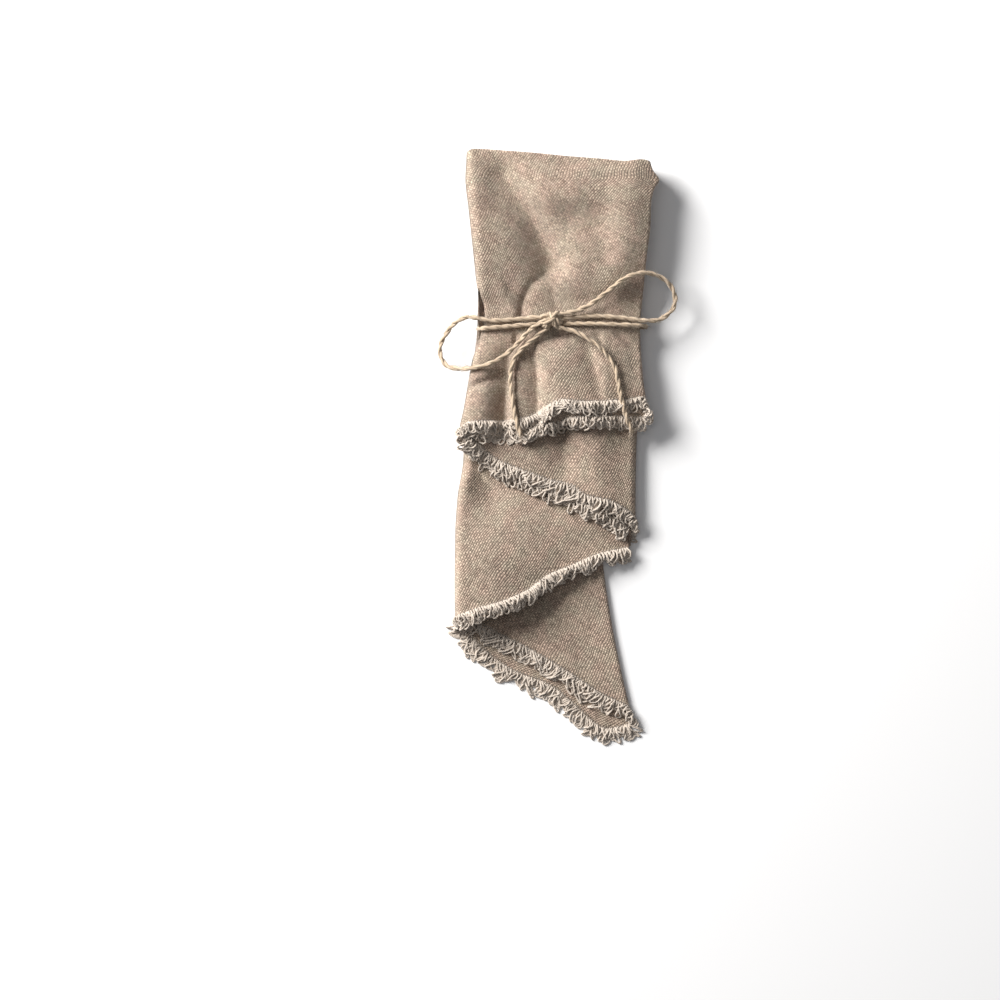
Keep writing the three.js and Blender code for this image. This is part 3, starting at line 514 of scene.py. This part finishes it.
def fold_rise(x, y, line, left_width, right_width, start_rise, end_rise):
    """Rise at x, y of a trough or ridge that follows a line."""
    pieces = len(line) - 1
    nearest, width, rise = np.full(np.shape(x), np.inf), np.ones(np.shape(x)), np.zeros(np.shape(x))
    for i, ((x1, y1), (x2, y2)) in enumerate(zip(line, line[1:])):
        dx, dy = x2 - x1, y2 - y1
        t = np.clip(((x - x1) * dx + (y - y1) * dy) / (dx * dx + dy * dy), 0, 1)
        away = np.hypot(x - x1 - t * dx, y - y1 - t * dy)
        aside = (dx * (y - y1) - dy * (x - x1)) / math.hypot(dx, dy)
        on_left = smoothstep(0.5 + 0.5 * aside / (away + SIDE_BLEND / 2))
        closer = away < nearest
        nearest = np.where(closer, away, nearest)
        width = np.where(closer, right_width + (left_width - right_width) * on_left, width)
        rise = np.where(closer, start_rise + (end_rise - start_rise) * (i + t) / pieces, rise)
    return rise * np.exp(-(nearest / width) ** FOLD_POWER)


def relief(x, y):
    """Rise or fall of the top level."""
    x, y = np.broadcast_arrays(np.asarray(x, float), np.asarray(y, float))
    off = np.abs(y - TIE_Y)
    free = smoothstep((off - TWINE) / TIE_GRIP)
    nearly_free = ramp(off, *CREASE_FREE)
    wide = sum(fold_rise(x, y, *row) for row in FOLDS)
    narrow = sum(fold_rise(x, y, *row) for row in CREASES)
    return free * (WAVE_RISE * surface_waves(x, y) + wide) + nearly_free * narrow


def stand_off(level, x, y):
    """How far a level stands off the ones far below it."""
    if level <= 2:
        return 0
    total = LIFT * ramp(y, *LIFT_DOWN) * ramp(x, *LIFT_ACROSS)
    for above, middle_x, middle_y, wide, long, rise in STAND_OFFS:
        if level > above:
            total = total + rise * np.exp(-((x - middle_x) / wide) ** 2 - ((y - middle_y) / long) ** 2)
    return total


def level_height(level, x, y):
    """Height of the middle of a level's ply."""
    plain = section["pitch"](y)
    pitch = np.maximum(plain + relief(x, y) / (LEVELS - 1), np.minimum(plain, TIGHTEST_PITCH))
    raised = TIE_RAISE * np.exp(-((y - TIE_Y) / TIE_RAISE_REACH) ** 2)
    past = 2 * pitch * smoothstep((x - section["rightD"](y)) / DROP_RUN) if level > 2 else 0
    air = np.maximum(plain - PLY - LOFT_KEEP, 0)
    wander = LOFT_SHARE * air * loft_waves[level](x, y) if level > 1 else 0
    return raised + PLY / 2 + (level - 1) * pitch - past + stand_off(level, x, y) + wander


def turn_centre(edge, y):
    """Where a run ends and the turn begins: the middle of the turn's arc."""
    if edge == "butt":
        return BUTT_X + 0 * y
    inward = 1 if edge.startswith("left") else -1
    return section[edge](y) + inward * (TURN_SPAN[edge] * section["pitch"](y) / 2 + PLY / 2)


def run_place(level, start_edge, end_edge, share):
    """Gives x and z at y on a run, that share of the way along it."""
    def place(y):
        start = turn_centre(start_edge, y) + (BUTT_GAP / 2 if start_edge == "butt" else 0)
        end = turn_centre(end_edge, y) - (BUTT_GAP / 2 if end_edge == "butt" else 0)
        x = start + (end - start) * share
        return x, level_height(level, x, y)
    return place


def turn_place(level, next_level, edge, angle):
    """Gives x and z at y on the turn from one level to the next."""
    side = -1 if edge.startswith("left") else 1

    def place(y):
        x = turn_centre(edge, y)
        start, end = level_height(level, x, y), level_height(next_level, x, y)
        radius = abs(next_level - level) * section["pitch"](y) / 2
        return (x + side * radius * math.sin(angle),
                (start + end) / 2 + (start - end) / 2 * math.cos(angle))
    return place


def make_stations():
    """The ribbon's stations in order. Each has its place and where its hem is."""
    stations = []
    for r, (level, start_edge, end_edge, count, turn_count) in enumerate(RUN_ROWS):
        for i in range(count):
            stations.append({"place": run_place(level, start_edge, end_edge, i / (count - 1)),
                             "run": r, "level": level, "hems": (level,), "turned": 0.0,
                             "fringed": True})
        for i in range(1, turn_count + 1):
            next_level = RUN_ROWS[r + 1][0]
            turned = i / (turn_count + 1)
            stations.append({"place": turn_place(level, next_level, end_edge, math.pi * turned),
                             "run": r if turned <= 0.5 else r + 1, "hems": (level, next_level),
                             "level": level + (next_level - level) * turned, "turned": turned,
                             "fringed": (level, next_level) not in INNER_TURNS, "edge": end_edge})
    return stations


def hem_of(station):
    """The y of a station's hem, found by trial where its own way down meets the hem's line."""
    ends = []
    for level in station["hems"]:
        y = HEM_FIRST_GUESS
        for _ in range(HEM_TRIES):
            x = turn_centre(station["edge"], y) if "edge" in station else station["place"](y)[0]
            y = hem[level](x)
        ends.append(y)
    return ends[0] if len(ends) == 1 else ends[0] + (ends[1] - ends[0]) * station["turned"]


def station_line(station):
    """The middle of the ply at a station, from the top edge down to the hem."""
    level = station["level"]
    top = top_edge(station["place"](NEAR_TOP)[0]) - TOP_INSET * (LEVELS - level)
    end = hem_of(station)
    levels = range(1, LEVELS + 1)
    split, share = (np.interp(level, levels, np.repeat(part, 2)) for part in zip(*ROW_SPLITS))
    y = np.interp(np.linspace(0, 1, ROWS), [0, share, 1], [top, split, end])
    x, z = station["place"](y)
    return np.stack([x, y, z], -1)


def ribbon_grid():
    """The ply's middle surface, the way out across it, and its flat place in the cloth."""
    stations = make_stations()
    grid = np.stack([station_line(s) for s in stations])
    along = np.gradient(grid, axis=0)
    down = np.gradient(grid, axis=1)
    normals = unit(np.cross(along, down))
    u = run_along(grid.swapaxes(0, 1)).mean(0)
    flat = np.stack(np.broadcast_arrays(u[:, None], run_along(grid)), -1)
    return stations, grid, normals, flat


def strip(first, second, first_at, second_at):
    """Triangles between two lines of vertices with different numbers of points."""
    triangles, i, j = [], 0, 0
    while i < len(first) - 1 or j < len(second) - 1:
        step_first = j == len(second) - 1 or (i < len(first) - 1 and first_at[i + 1] <= second_at[j + 1])
        if step_first:
            triangles.append([first[i], first[i + 1], second[j]])
            i += 1
        else:
            triangles.append([first[i], second[j + 1], second[j]])
            j += 1
    return triangles


def grid_faces(index):
    quads = np.stack([index[:-1, :-1], index[1:, :-1], index[1:, 1:], index[:-1, 1:]], -1)
    return quads.reshape(-1, 4).tolist()


def thinned(count):
    """Every second of so many numbers, and always the last."""
    picked = list(range(0, count, COARSE))
    return picked if picked[-1] == count - 1 else picked + [count - 1]


def napkin_mesh(grid, normals, flat):
    """The two sheets of the ribbon as one closed body: its outer face is fine, and the faces that
    lie on other cloth have every second station and row."""
    columns, rows = grid.shape[:2]
    s_few, r_few = thinned(columns), thinned(rows)
    fall = flat[..., 1]
    puff = 1 + TOP_PUFF * np.exp(-(fall / TOP_PUFF_REACH) ** 2)
    vertices, places, index, start = [], [], {}, 0

    def add(name, points, uv):
        nonlocal start
        index[name] = np.arange(points[..., 0].size).reshape(points.shape[:-1]) + start
        start += points[..., 0].size
        vertices.append(points.reshape(-1, 3))
        places.append(uv.reshape(-1, 2))

    few = np.ix_(s_few, r_few)
    out = SHEET_OUT * puff[..., None]
    back = SHEET_IN * (1 + SHEETS_PART * (puff[..., None] - 1) / TOP_PUFF)
    add("outer", grid + normals * out, flat)
    for name, offset in (("under", back), ("over", -back), ("inner", -out)):
        add(name, (grid + normals * offset)[few], flat[few])
    up = unit(grid[:, 0] - grid[:, 1])
    for degrees in TOP_ARC:
        angle = math.radians(degrees)
        rim = grid[:, 0] + out[:, 0] * (normals[:, 0] * math.cos(angle) + up * math.sin(angle))
        add(f"arc{degrees}", rim, flat[:, 0])

    faces = sum((grid_faces(index[name]) for name in ("outer", "under", "over", "inner")), [])
    arcs = np.stack([index["outer"][:, 0]] + [index[f"arc{d}"] for d in TOP_ARC], 1)
    faces += grid_faces(arcs)
    station_at, row_at = np.arange(columns), np.arange(rows)
    faces += strip(arcs[:, -1], index["inner"][:, 0], station_at, s_few)
    faces += grid_faces(np.stack([index["under"][:, 0], index["over"][:, 0]], 1))
    faces += strip(index["outer"][:, -1], index["under"][:, -1], station_at, s_few)
    faces += grid_faces(np.stack([index["over"][:, -1], index["inner"][:, -1]], 1))
    for end in (0, -1):
        outside = np.concatenate([index["outer"][end, ::-1], arcs[end, 1:], index["inner"][end]])
        arc_at = np.linspace(0, 1, len(TOP_ARC) + 2)[1:-1]
        outside_at = np.concatenate([-row_at[::-1], arc_at, np.array(r_few) + 1])
        inside = np.concatenate([index["under"][end, ::-1], index["over"][end]])
        inside_at = np.concatenate([-np.array(r_few)[::-1], np.array(r_few) + 1])
        faces += strip(outside, inside, outside_at, inside_at)
    return np.concatenate(vertices), faces, np.concatenate(places) * MM


def face_outwards(made):
    mesh = bmesh.new()
    mesh.from_mesh(made.data)
    bmesh.ops.recalc_face_normals(mesh, faces=mesh.faces)
    mesh.to_mesh(made.data)
    mesh.free()


# The fringe

def hem_line(ribbon, run, side):
    """The hem of one sheet over one run: length along it, place, the way out of the cloth, the
    way up across it, the way along, and 1 where it lies on a turn."""
    stations, grid, normals, _ = ribbon
    picked = [s for s, station in enumerate(stations) if station["run"] == run and station["fringed"]]
    point, normal = grid[picked, -1], normals[picked, -1]
    facing = 1 if normal[len(picked) // 2, 2] > 0 else -1
    up = normal * facing
    along = unit(np.gradient(point, axis=0))
    out = unit(np.cross(up, along))
    out *= np.where(out[:, 1:2] > 0, -1, 1)
    point = point + up * side * (SHEET_OUT + SHEET_IN) / 2
    turned = np.array([float("edge" in stations[s]) for s in picked])
    return run_along(point), point, out, up, along, turned


def frames_at(line, at):
    """Place, out, up, along and turned at lengths along a hem line."""
    mixed = [np.stack([np.interp(at, line[0], part[:, k]) for k in range(3)], -1) for part in line[1:5]]
    return mixed[0], unit(mixed[1]), unit(mixed[2]), unit(mixed[3]), np.interp(at, line[0], line[5])


def inside_level(level, x, y):
    left = section["leftAB" if level > 4 else "leftCD"](y)
    right = section["rightA" if level > 6 else "rightBC" if level > 2 else "rightD"](y)
    return (y > hem[level](x)) & (x > left) & (x < right)


def kept_between(points, level, radius, turned):
    """The points, lifted off the cloth below and pushed under the cloth above."""
    x, y, z = points[..., 0], points[..., 1], points[..., 2].copy()
    low, high = np.full(x.shape, ABOVE_TABLE), np.full(x.shape, NO_CLOTH)
    for other in range(1, LEVELS + 1):
        height = level_height(other, x, y)
        inside = inside_level(other, x, y)
        if other < level:
            low = np.where(inside, np.maximum(low, height + PLY / 2), low)
        if other > level:
            high = np.where(inside, np.minimum(high, height - PLY / 2), high)
    free = np.clip(z, low + radius, None)
    free = np.maximum(np.minimum(free, high - radius), radius)
    z = np.where(turned > ON_TURN, np.maximum(z, radius), free)
    return np.stack([x, y, z], -1)


def loop_lines(line, level, side, seed):
    """Centrelines of the yarn loops along a hem line."""
    draw = np.random.RandomState(seed)
    total = line[0][-1]
    count = int(total / LOOP_PITCH)
    at = (np.arange(count) + 0.5 + draw.uniform(-LOOP_JITTER, LOOP_JITTER, count)) * total / count
    point, out, up, along, turned = frames_at(line, at)
    bunch = waves(seed + SEEDS["bunch"], BUNCH_LENGTHS)
    kinds = []
    for i, (shared, own) in enumerate((LEAN, CURL, LENGTH_SPREAD, TWIST)):
        kinds.append(shared * bunch(at + i * BUNCH_SHIFT) + draw.uniform(-own, own, count))
    lean, curl, longer, twist = kinds
    length = LOOP_LENGTH[level] * (1 + longer)
    rise = LOOP_RISE + draw.uniform(*LOOP_RISE_SPREAD, count)
    width = draw.uniform(*LOOP_WIDTH, count)
    if side > 0:
        length = length * LOOP_SHORT * draw.uniform(*LOOP_UPPER_SPREAD, count)
        rise = rise + LOOP_UPPER_RISE
    if level == 1:
        rise = rise * LOOP_LOWEST_RISE
    calm = np.where(turned > ON_TURN, TURN_CALM, 1.0)
    lean, curl, twist, length = lean * calm, curl * calm, twist * calm, length * np.sqrt(calm)
    t = np.linspace(0, 1, LOOP_RINGS)
    reach = np.sin(math.pi * t) ** LOOP_ROUND
    wide = -(LOOP_FOOT * np.cos(math.pi * t) + width[:, None] * np.sin(2 * math.pi * t) * LOOP_BELLY)
    crimp = CRIMP * np.sin(CRIMP_WAVES * math.pi * t + draw.uniform(*CRIMP_STARTS, count)[:, None])
    angle = twist[:, None] * reach
    outward = length[:, None] * reach - LOOP_ROOT * (1 - reach)
    sideways = wide * np.cos(angle) + (lean[:, None] * reach + curl[:, None] * reach ** 2) * length[:, None]
    upward = wide * np.sin(angle) + rise[:, None] * np.sin(math.pi * np.minimum(reach * ARCH_SHORT, 1))
    upward = upward + crimp - LOOP_DROOP * reach ** 3
    points = (point[:, None] + out[:, None] * outward[..., None]
              + along[:, None] * (sideways + crimp)[..., None] + up[:, None] * upward[..., None])
    lifted = kept_between(points, level, LOOP_YARN, turned[:, None])
    inside = (outward < LOOP_FREE)[..., None]
    made = np.where(inside, points, lifted)
    made[..., 2] = np.maximum(made[..., 2], LOOP_YARN)
    return made


def stitch_line(line, level):
    """Centreline of the zigzag stitch on the upper side of a hem."""
    total = line[0][-1]
    count = int(2 * total / STITCH_PITCH)
    at = (np.arange(count) + 0.5) * total / count
    point, out, up, _, turned = frames_at(line, at)
    reach = np.where(np.arange(count) % 2 == 0, *STITCH_REACH)
    points = point - out * reach[:, None]
    flat = turned < ON_TURN
    height = level_height(level, points[:, 0], points[:, 1]) + SHEET_OUT + STITCH_YARN * STITCH_SINK
    raised = points + up * (SHEET_OUT - SHEET_IN) / 2
    points[:, 2] = np.maximum(np.where(flat, height, raised[:, 2]), STITCH_YARN)
    return points


# The twine

def twine_frames(line):
    """The frames along a cord, whose first side is square to TWINE_OVER."""
    return frames_along(line, np.cross(line[1] - line[0], TWINE_OVER))


def twisted(line, seed, thickness=TWINE, bare_end=False):
    """The two plies of the twine along a line, a little uneven."""
    draw = np.random.RandomState(seed)
    _, across, over = twine_frames(line)
    run = run_along(line)
    turn = 2 * math.pi * run / PLY_PITCH + PLY_WANDER * waves(seed, PLY_WANDER_LENGTHS)(run)
    parts = []
    for ply in range(2):
        angle = turn + ply * math.pi + draw.uniform(-PLY_START, PLY_START)
        offset_waves = waves(seed + SEEDS["offset"] + ply, OFFSET_LENGTHS)
        thickness_waves = waves(seed + SEEDS["thickness"] + ply, THICKNESS_LENGTHS)
        offset = thickness * PLY_OFFSET * (1 + OFFSET_UNEVEN * offset_waves(run))
        middle = line + offset[:, None] * (across * np.cos(angle)[:, None] + over * np.sin(angle)[:, None])
        radius = thickness * PLY_THICK * (1 + THICKNESS_UNEVEN * thickness_waves(run))
        if bare_end:
            radius = radius * np.minimum((run[-1] - run) / END_TAPER + END_THIN, 1)
        middle[:, 2] = np.maximum(middle[:, 2], radius)
        parts.append(tubes(middle[None], radius[None], PLY_SIDES))
    return joined(parts)


def fibres(line, seed, count, reach=FIBRE_REACH, slopes=FIBRE_SLOPE):
    """Loose hairs that stand off the twine along a line."""
    draw = np.random.RandomState(seed)
    along, across, over = twine_frames(line)
    at = draw.randint(1, len(line) - 1, count)
    angle = draw.uniform(0, 2 * math.pi, count)
    out = across[at] * np.cos(angle)[:, None] + over[at] * np.sin(angle)[:, None]
    way = along[at] * draw.choice([-1.0, 1.0], count)[:, None]
    side = np.cross(way, out)
    length = draw.uniform(*reach, count)[:, None, None]
    t = np.linspace(0, 1, FIBRE_POINTS)[None, :, None]
    bend = draw.uniform(-FIBRE_BEND, FIBRE_BEND, count)[:, None, None]
    slope = draw.uniform(*slopes, count)[:, None, None]
    root = line[at] + out * (TWINE * FIBRE_ROOT)
    lines = (root[:, None] + way[:, None] * length * t + out[:, None] * length * slope * t ** FIBRE_CURVE
             + side[:, None] * length * bend * t * t)
    lines[..., 2] = np.maximum(lines[..., 2], FIBRE_LOWEST)
    radius = FIBRE_THICK * (1 - FIBRE_TAPER * t[..., 0]) * np.ones((count, 1))
    return tubes(lines, radius, FIBRE_SIDES)


# Materials

class Shader:
    """A material's node tree, with short ways to add to it."""

    def __init__(self, name):
        self.material = bpy.data.materials.new(name)
        self.material.use_nodes = True
        self.tree = self.material.node_tree
        self.surface = self.tree.nodes["Principled BSDF"]

    def fill(self, socket, value):
        if isinstance(value, bpy.types.NodeSocket):
            self.tree.links.new(value, socket)
        else:
            socket.default_value = value

    def add(self, kind, inputs=None, **settings):
        node = self.tree.nodes.new(kind)
        for name, value in settings.items():
            setattr(node, name, value)
        for name, value in (inputs or {}).items():
            self.fill(node.inputs[name], value)
        return node

    def math(self, operation, *values):
        return self.add("ShaderNodeMath", dict(enumerate(values)), operation=operation).outputs[0]

    def times(self, first, second):
        return self.math("MULTIPLY", first, second)

    def mix(self, share, first, second, blend="MIX"):
        sockets = {0: share, 6: first, 7: second}
        return self.add("ShaderNodeMix", sockets, data_type="RGBA", blend_type=blend).outputs[2]

    def choose(self, share, first, second):
        return self.add("ShaderNodeMix", {0: share, 2: first, 3: second}).outputs[0]

    def weighted(self, first, *others):
        """The sum of values, each with its weight."""
        total = self.times(*first)
        for value, weight in others:
            total = self.math("ADD", total, self.times(value, weight))
        return total

    def uv(self):
        return self.add("ShaderNodeUVMap", uv_map="UVMap").outputs[0]

    def split(self, vector):
        return self.add("ShaderNodeSeparateXYZ", {0: vector}).outputs[:2]

    def place(self):
        return self.add("ShaderNodeTexCoord").outputs["Object"]

    def combine(self, x, y, z=0.0):
        return self.add("ShaderNodeCombineXYZ", {"X": x, "Y": y, "Z": z}).outputs[0]

    def noise(self, vector, scale, detail=2.0, roughness=0.5):
        return self.add("ShaderNodeTexNoise", {"Vector": vector, "Scale": scale, "Detail": detail,
                                               "Roughness": roughness}).outputs[0]

    def random(self, vector):
        return self.add("ShaderNodeTexWhiteNoise", {"Vector": vector}).outputs[0]

    def span(self, value, low, high, to_low=0.0, to_high=1.0):
        node = self.add("ShaderNodeMapRange", {"Value": value, "From Min": low, "From Max": high,
                                               "To Min": to_low, "To Max": to_high})
        return node.outputs[0]

    def finish(self, colour, height, strength, distance, **fixed):
        bump = self.add("ShaderNodeBump", {"Height": height, "Strength": strength,
                                           "Distance": distance * MM})
        self.fill(self.surface.inputs["Base Color"], colour)
        self.fill(self.surface.inputs["Normal"], bump.outputs[0])
        for name, value in fixed.items():
            self.surface.inputs[name.replace("_", " ")].default_value = value
        return self.material


YARN_PITCH = 0.97
THREAD_TURN = math.radians(30)  # of the threads to the bundle
# The weave's colour runs between these two; its darker end also carries painted shade in the gaps between
# threads.
CLOTH_LIGHT = (0.57, 0.455, 0.355, 1.0)
CLOTH_DARK = (0.10, 0.068, 0.048, 1.0)
CLOTH_PATCHES = ((0.93, 0.92, 0.92, 1.0), (1.06, 1.05, 1.04, 1.0))  # slightly darker and lighter
CLOTH_HUES = ((1.04, 0.975, 0.965, 1.0), (0.975, 1.01, 0.98, 1.0))  # slightly redder and greener
# The yarns and the twine run from dark to light with their fibres and own tones, and towards light on the
# twist's crests as painted highlight.
FRINGE_LIGHT = (0.59, 0.51, 0.43, 1.0)
FRINGE_DARK = (0.43, 0.36, 0.295, 1.0)
JUTE_LIGHT = (0.62, 0.50, 0.37, 1.0)
JUTE_DARK = (0.34, 0.245, 0.16, 1.0)


def cloth_material():
    """Plain weave of heathered yarn: each crossing shows the warp or the weft thread, with painted shade in
    the gaps between threads and painted light on their crests.
    """
    sh = Shader("cloth_weave")
    scale = 1 / MM / YARN_PITCH
    turned = sh.add("ShaderNodeMapping", {"Vector": sh.uv(), "Rotation": (0.0, 0.0, THREAD_TURN),
                                          "Scale": (scale, scale, 1.0)}).outputs[0]
    wobble = sh.noise(turned, 0.12, 1.0)
    wander = sh.combine(sh.span(wobble, 0, 1, -1.1, 1.1), sh.span(wobble, 0, 1, 0.9, -0.9))
    shifted = sh.add("ShaderNodeVectorMath", {0: turned, 1: wander}, operation="ADD")
    x, y = sh.split(shifted.outputs[0])
    column, line = sh.math("FLOOR", x), sh.math("FLOOR", y)
    over = sh.math("FLOORED_MODULO", sh.math("ADD", column, line), 2.0)
    across = sh.math("SINE", sh.times(sh.math("FRACT", x), math.pi))
    down = sh.math("SINE", sh.times(sh.math("FRACT", y), math.pi))
    warp = sh.times(across, sh.span(down, 0, 1, 0.45))
    weft = sh.times(down, sh.span(across, 0, 1, 0.45))
    height = sh.choose(over, weft, warp)
    thread_tone = sh.choose(over, sh.random(sh.combine(5.0, line, 9.0)), sh.random(sh.combine(column, 3.0)))
    crossing_tone = sh.random(sh.combine(column, line, 1.0))
    # The weave's height also paints the colour: painted shade in the gaps between threads and painted light
    # on their crests, besides the threads' own random tones.
    tone = sh.weighted((thread_tone, 0.2), (crossing_tone, 0.36), (height, 0.5), (over, 0.16))
    colour = sh.mix(sh.span(tone, 0.1, 1.12), CLOTH_DARK, CLOTH_LIGHT)
    patches = sh.noise(sh.place(), 55.0, 3.0, 0.6)
    hues = sh.noise(sh.place(), 140.0)
    for noise, pair in ((patches, CLOTH_PATCHES), (hues, CLOTH_HUES)):
        colour = sh.mix(1.0, colour, sh.mix(sh.span(noise, 0.35, 0.65), *pair), "MULTIPLY")
    return sh.finish(colour, height, 1.0, 0.3, Roughness=0.92, Sheen_Weight=0.15,
                     Sheen_Roughness=0.6, Specular_IOR_Level=0.18)


def yarn_material(name, light, dark, pitch, stretch, bump):
    """Twisted yarn or twine: slanted fibres round it, with a painted highlight on the crests of the twist.
    """
    sh = Shader(name)
    round_it, along = sh.split(sh.uv())
    turns = sh.math("ADD", sh.times(along, 1 / MM / pitch), round_it)
    wave = sh.math("SINE", sh.times(turns, 2 * math.pi))
    number = sh.math("FLOOR", round_it)
    fibre = sh.noise(sh.combine(sh.times(turns, 7.0), sh.times(along, stretch), number), 1.0, 3.0, 0.65)
    own = sh.random(sh.combine(number, 2.0))
    height = sh.weighted((wave, 0.5), (fibre, 1.2))
    # The twist's wave lightens the crests as painted highlight; the fibres and each tube's own tone are the
    # yarn's colour.
    tone = sh.weighted((fibre, 1.1), (wave, 0.12), (own, 0.35))
    colour = sh.mix(sh.span(tone, 0.25, 1.15), dark, light)
    return sh.finish(colour, height, bump, 0.25, Roughness=0.85, Sheen_Weight=0.2,
                     Sheen_Roughness=0.5, Specular_IOR_Level=0.25)


def floor_material():
    sh = Shader("floor_paper")
    grain = sh.noise(sh.place(), 400.0)
    return sh.finish((*FLOOR_COLOUR, 1.0), grain, 0.02, 0.1, Roughness=FLOOR_ROUGHNESS,
                     Specular_IOR_Level=0.2)


# Camera, floor and lights

def make_camera():
    data = bpy.data.cameras.new("camera")
    data.lens = LENS
    data.sensor_width = SENSOR
    camera = placed("camera", data)
    distance = FRAME_WIDTH * LENS / SENSOR
    camera.location = [c * MM for c in (*FRAME_MIDDLE, distance + BUNDLE_HEIGHT / 2)]
    bpy.context.scene.camera = camera


def make_studio():
    half = FLOOR_SIDE / 2
    corners = [(-half, -half, 0), (half, -half, 0), (half, half, 0), (-half, half, 0)]
    floor = new_object("floor", (corners, [(0, 1, 2, 3)], None), floor_material())
    floor.location.z = -FLOOR_DROP * MM
    for name, place, side, power in LIGHTS:
        data = bpy.data.lights.new(name, "AREA")
        data.size = side * MM
        data.energy = power
        light = placed(name, data)
        light.location = [c * MM for c in place]
        light.rotation_mode = "QUATERNION"
        light.rotation_quaternion = light.location.to_track_quat("Z", "Y")
    world = bpy.data.worlds.new("studio")
    bpy.context.scene.world = world
    world.use_nodes = True
    background = world.node_tree.nodes["Background"]
    background.inputs["Color"].default_value = (*WORLD_COLOUR, 1.0)
    background.inputs["Strength"].default_value = WORLD_STRENGTH
    bpy.context.scene.view_settings.view_transform = "Standard"


# The pieces

def build_twine(jute):
    """The five cords with their loose hairs. Each cord stands for its solid."""
    for seed, (name, route) in enumerate(ROUTES.items()):
        line = catmull_rom(route, TWINE_STEP * MM) / MM
        far_end = FAR_ENDS.get(name, "object")
        plies = twisted(line, SEEDS["twine"] + seed, bare_end=far_end == "bare")
        cord = new_object(name + "_cord", plies, jute, "twine")
        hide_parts(name)
        length = float(run_along(line)[-1])
        hairs = fibres(line, SEEDS["fibres"] + seed, int(length / FIBRE_STEP))
        if far_end == "bare":
            end = line[-BRUSH_STEPS:]
            brush = fibres(end, SEEDS["brush"] + seed, BRUSH_COUNT, BRUSH_REACH, BRUSH_SLOPE)
            hairs = joined([hairs, brush])
        fuzz = new_object(name + "_fibres", hairs, jute, "twine")


KNOT_CENTRE = np.array([-2.2, 57.3, 16.6])
# The knot's own strands: their points round its centre
KNOT_STRANDS = [
    [(-4.6, 1.2, 0.2), (-2.6, 2.1, 1.2), (0.2, 2.2, 1.6), (2.4, 2.3, 1.3), (3.6, 2.5, 1.0)],
    [(-5.2, -1.3, 0.9), (-2.8, -0.3, 1.7), (-0.4, 0.5, 1.5), (1.8, 0.1, 0.9), (4.8, 0.6, -0.6)],
    [(-2.2, -3.7, -0.4), (-1.2, -2.2, 0.6), (0.2, -0.8, 1.0), (1.8, 0.8, 0.6), (2.6, 1.6, 0.2)],
    [(3.1, -3.3, 0.0), (1.6, -2.4, 0.8), (0.0, -1.4, 1.0), (-1.8, -0.4, 0.4), (-3.4, 0.2, 0.0)],
    [(-4.2, -2.4, 0.4), (-2.2, -1.2, 2.0), (-0.2, 0.4, 2.6), (1.6, 2.2, 2.0), (2.4, 3.6, 0.8)],
]
# The turns round them: the middle, the slant in radians, and the half width and half height
KNOT_TURNS = [((0.2, 0.2, 0.1), 0.5, 3.2, 2.1), ((-1.9, -0.4, -0.1), -0.25, 2.7, 1.8),
              ((2.1, 0.2, -0.2), 0.85, 2.6, 1.6)]
KNOT_STEPS = 40
KNOT_FIBRES = 80  # on each turn
KNOT_SWAY = 0.2
KNOT_TURN_THIN = 0.9


def build_knot(jute):
    """The knot: strands that run through it, and short turns of twine round them."""
    parts = []
    for seed, strand in enumerate(KNOT_STRANDS):
        line = catmull_rom(np.array(strand) + KNOT_CENTRE, TWINE_STEP)
        parts.append(twisted(line, SEEDS["knot_strands"] + seed))
    for seed, (middle, slant, wide, high) in enumerate(KNOT_TURNS):
        angle = np.linspace(0, 2 * math.pi, KNOT_STEPS)
        sway = KNOT_SWAY * np.sin(2 * angle)
        ring = np.stack([sway, wide * np.cos(angle), high * np.sin(angle)], -1)
        c, s = math.cos(slant), math.sin(slant)
        line = ring @ np.array([[c, s, 0], [-s, c, 0], [0, 0, 1]]) + KNOT_CENTRE + np.array(middle)
        parts.append(twisted(line, SEEDS["knot_turns"] + seed, TWINE * KNOT_TURN_THIN))
        parts.append(fibres(line, SEEDS["knot_fibres"] + seed, KNOT_FIBRES))
    knot = new_object("knot", joined(parts), jute, "twine")
    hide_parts("twine_knot")


def build_cloth(weave, ribbon):
    _, grid, normals, flat = ribbon
    vertices, faces, uv = napkin_mesh(grid, normals, flat)
    vertices[:, 2] = np.maximum(vertices[:, 2], 0)
    cloth = new_object("napkin_cloth", (vertices, faces, uv), weave, "cloth")
    face_outwards(cloth)
    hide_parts("napkin")
    return cloth


def build_fringe(yarn, thread, ribbon):
    """A row of yarn loops on each of the two sheets, and a zigzag stitch, on every level."""
    pieces = []
    for run, (level, *_) in enumerate(RUN_ROWS):
        part = BUTT_PARTS.get(run, "")
        hems = {side: hem_line(ribbon, run, side) for side in (1, -1)}
        rows = []
        for side, line in hems.items():
            lines = loop_lines(line, level, side, SEEDS["fringe"] + 10 * run + side)
            rows.append(tubes(lines, LOOP_YARN, LOOP_SIDES))
        loops = new_object(f"fringe_{level}{part}_loops", joined(rows), yarn, "fringe")
        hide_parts(f"fringe_{level}{part}")
        zigzag = tubes(stitch_line(hems[1], level)[None], STITCH_YARN, STITCH_SIDES)
        pieces += [loops, new_object(f"hem_stitch_{level}{part}", zigzag, thread, "fringe")]
    return pieces


make_camera()
make_studio()
jute = yarn_material("jute_twine", JUTE_LIGHT, JUTE_DARK, 5.0, 900.0, 0.6)
build_twine(jute)
build_knot(jute)
ribbon = ribbon_grid()
cloth = build_cloth(cloth_material(), ribbon)
yarn = yarn_material("fringe_yarn", FRINGE_LIGHT, FRINGE_DARK, 1.6, 1500.0, 0.6)
thread = yarn_material("hem_thread", FRINGE_LIGHT, FRINGE_DARK, 0.9, 2000.0, 0.3)
fringe = build_fringe(yarn, thread, ribbon)
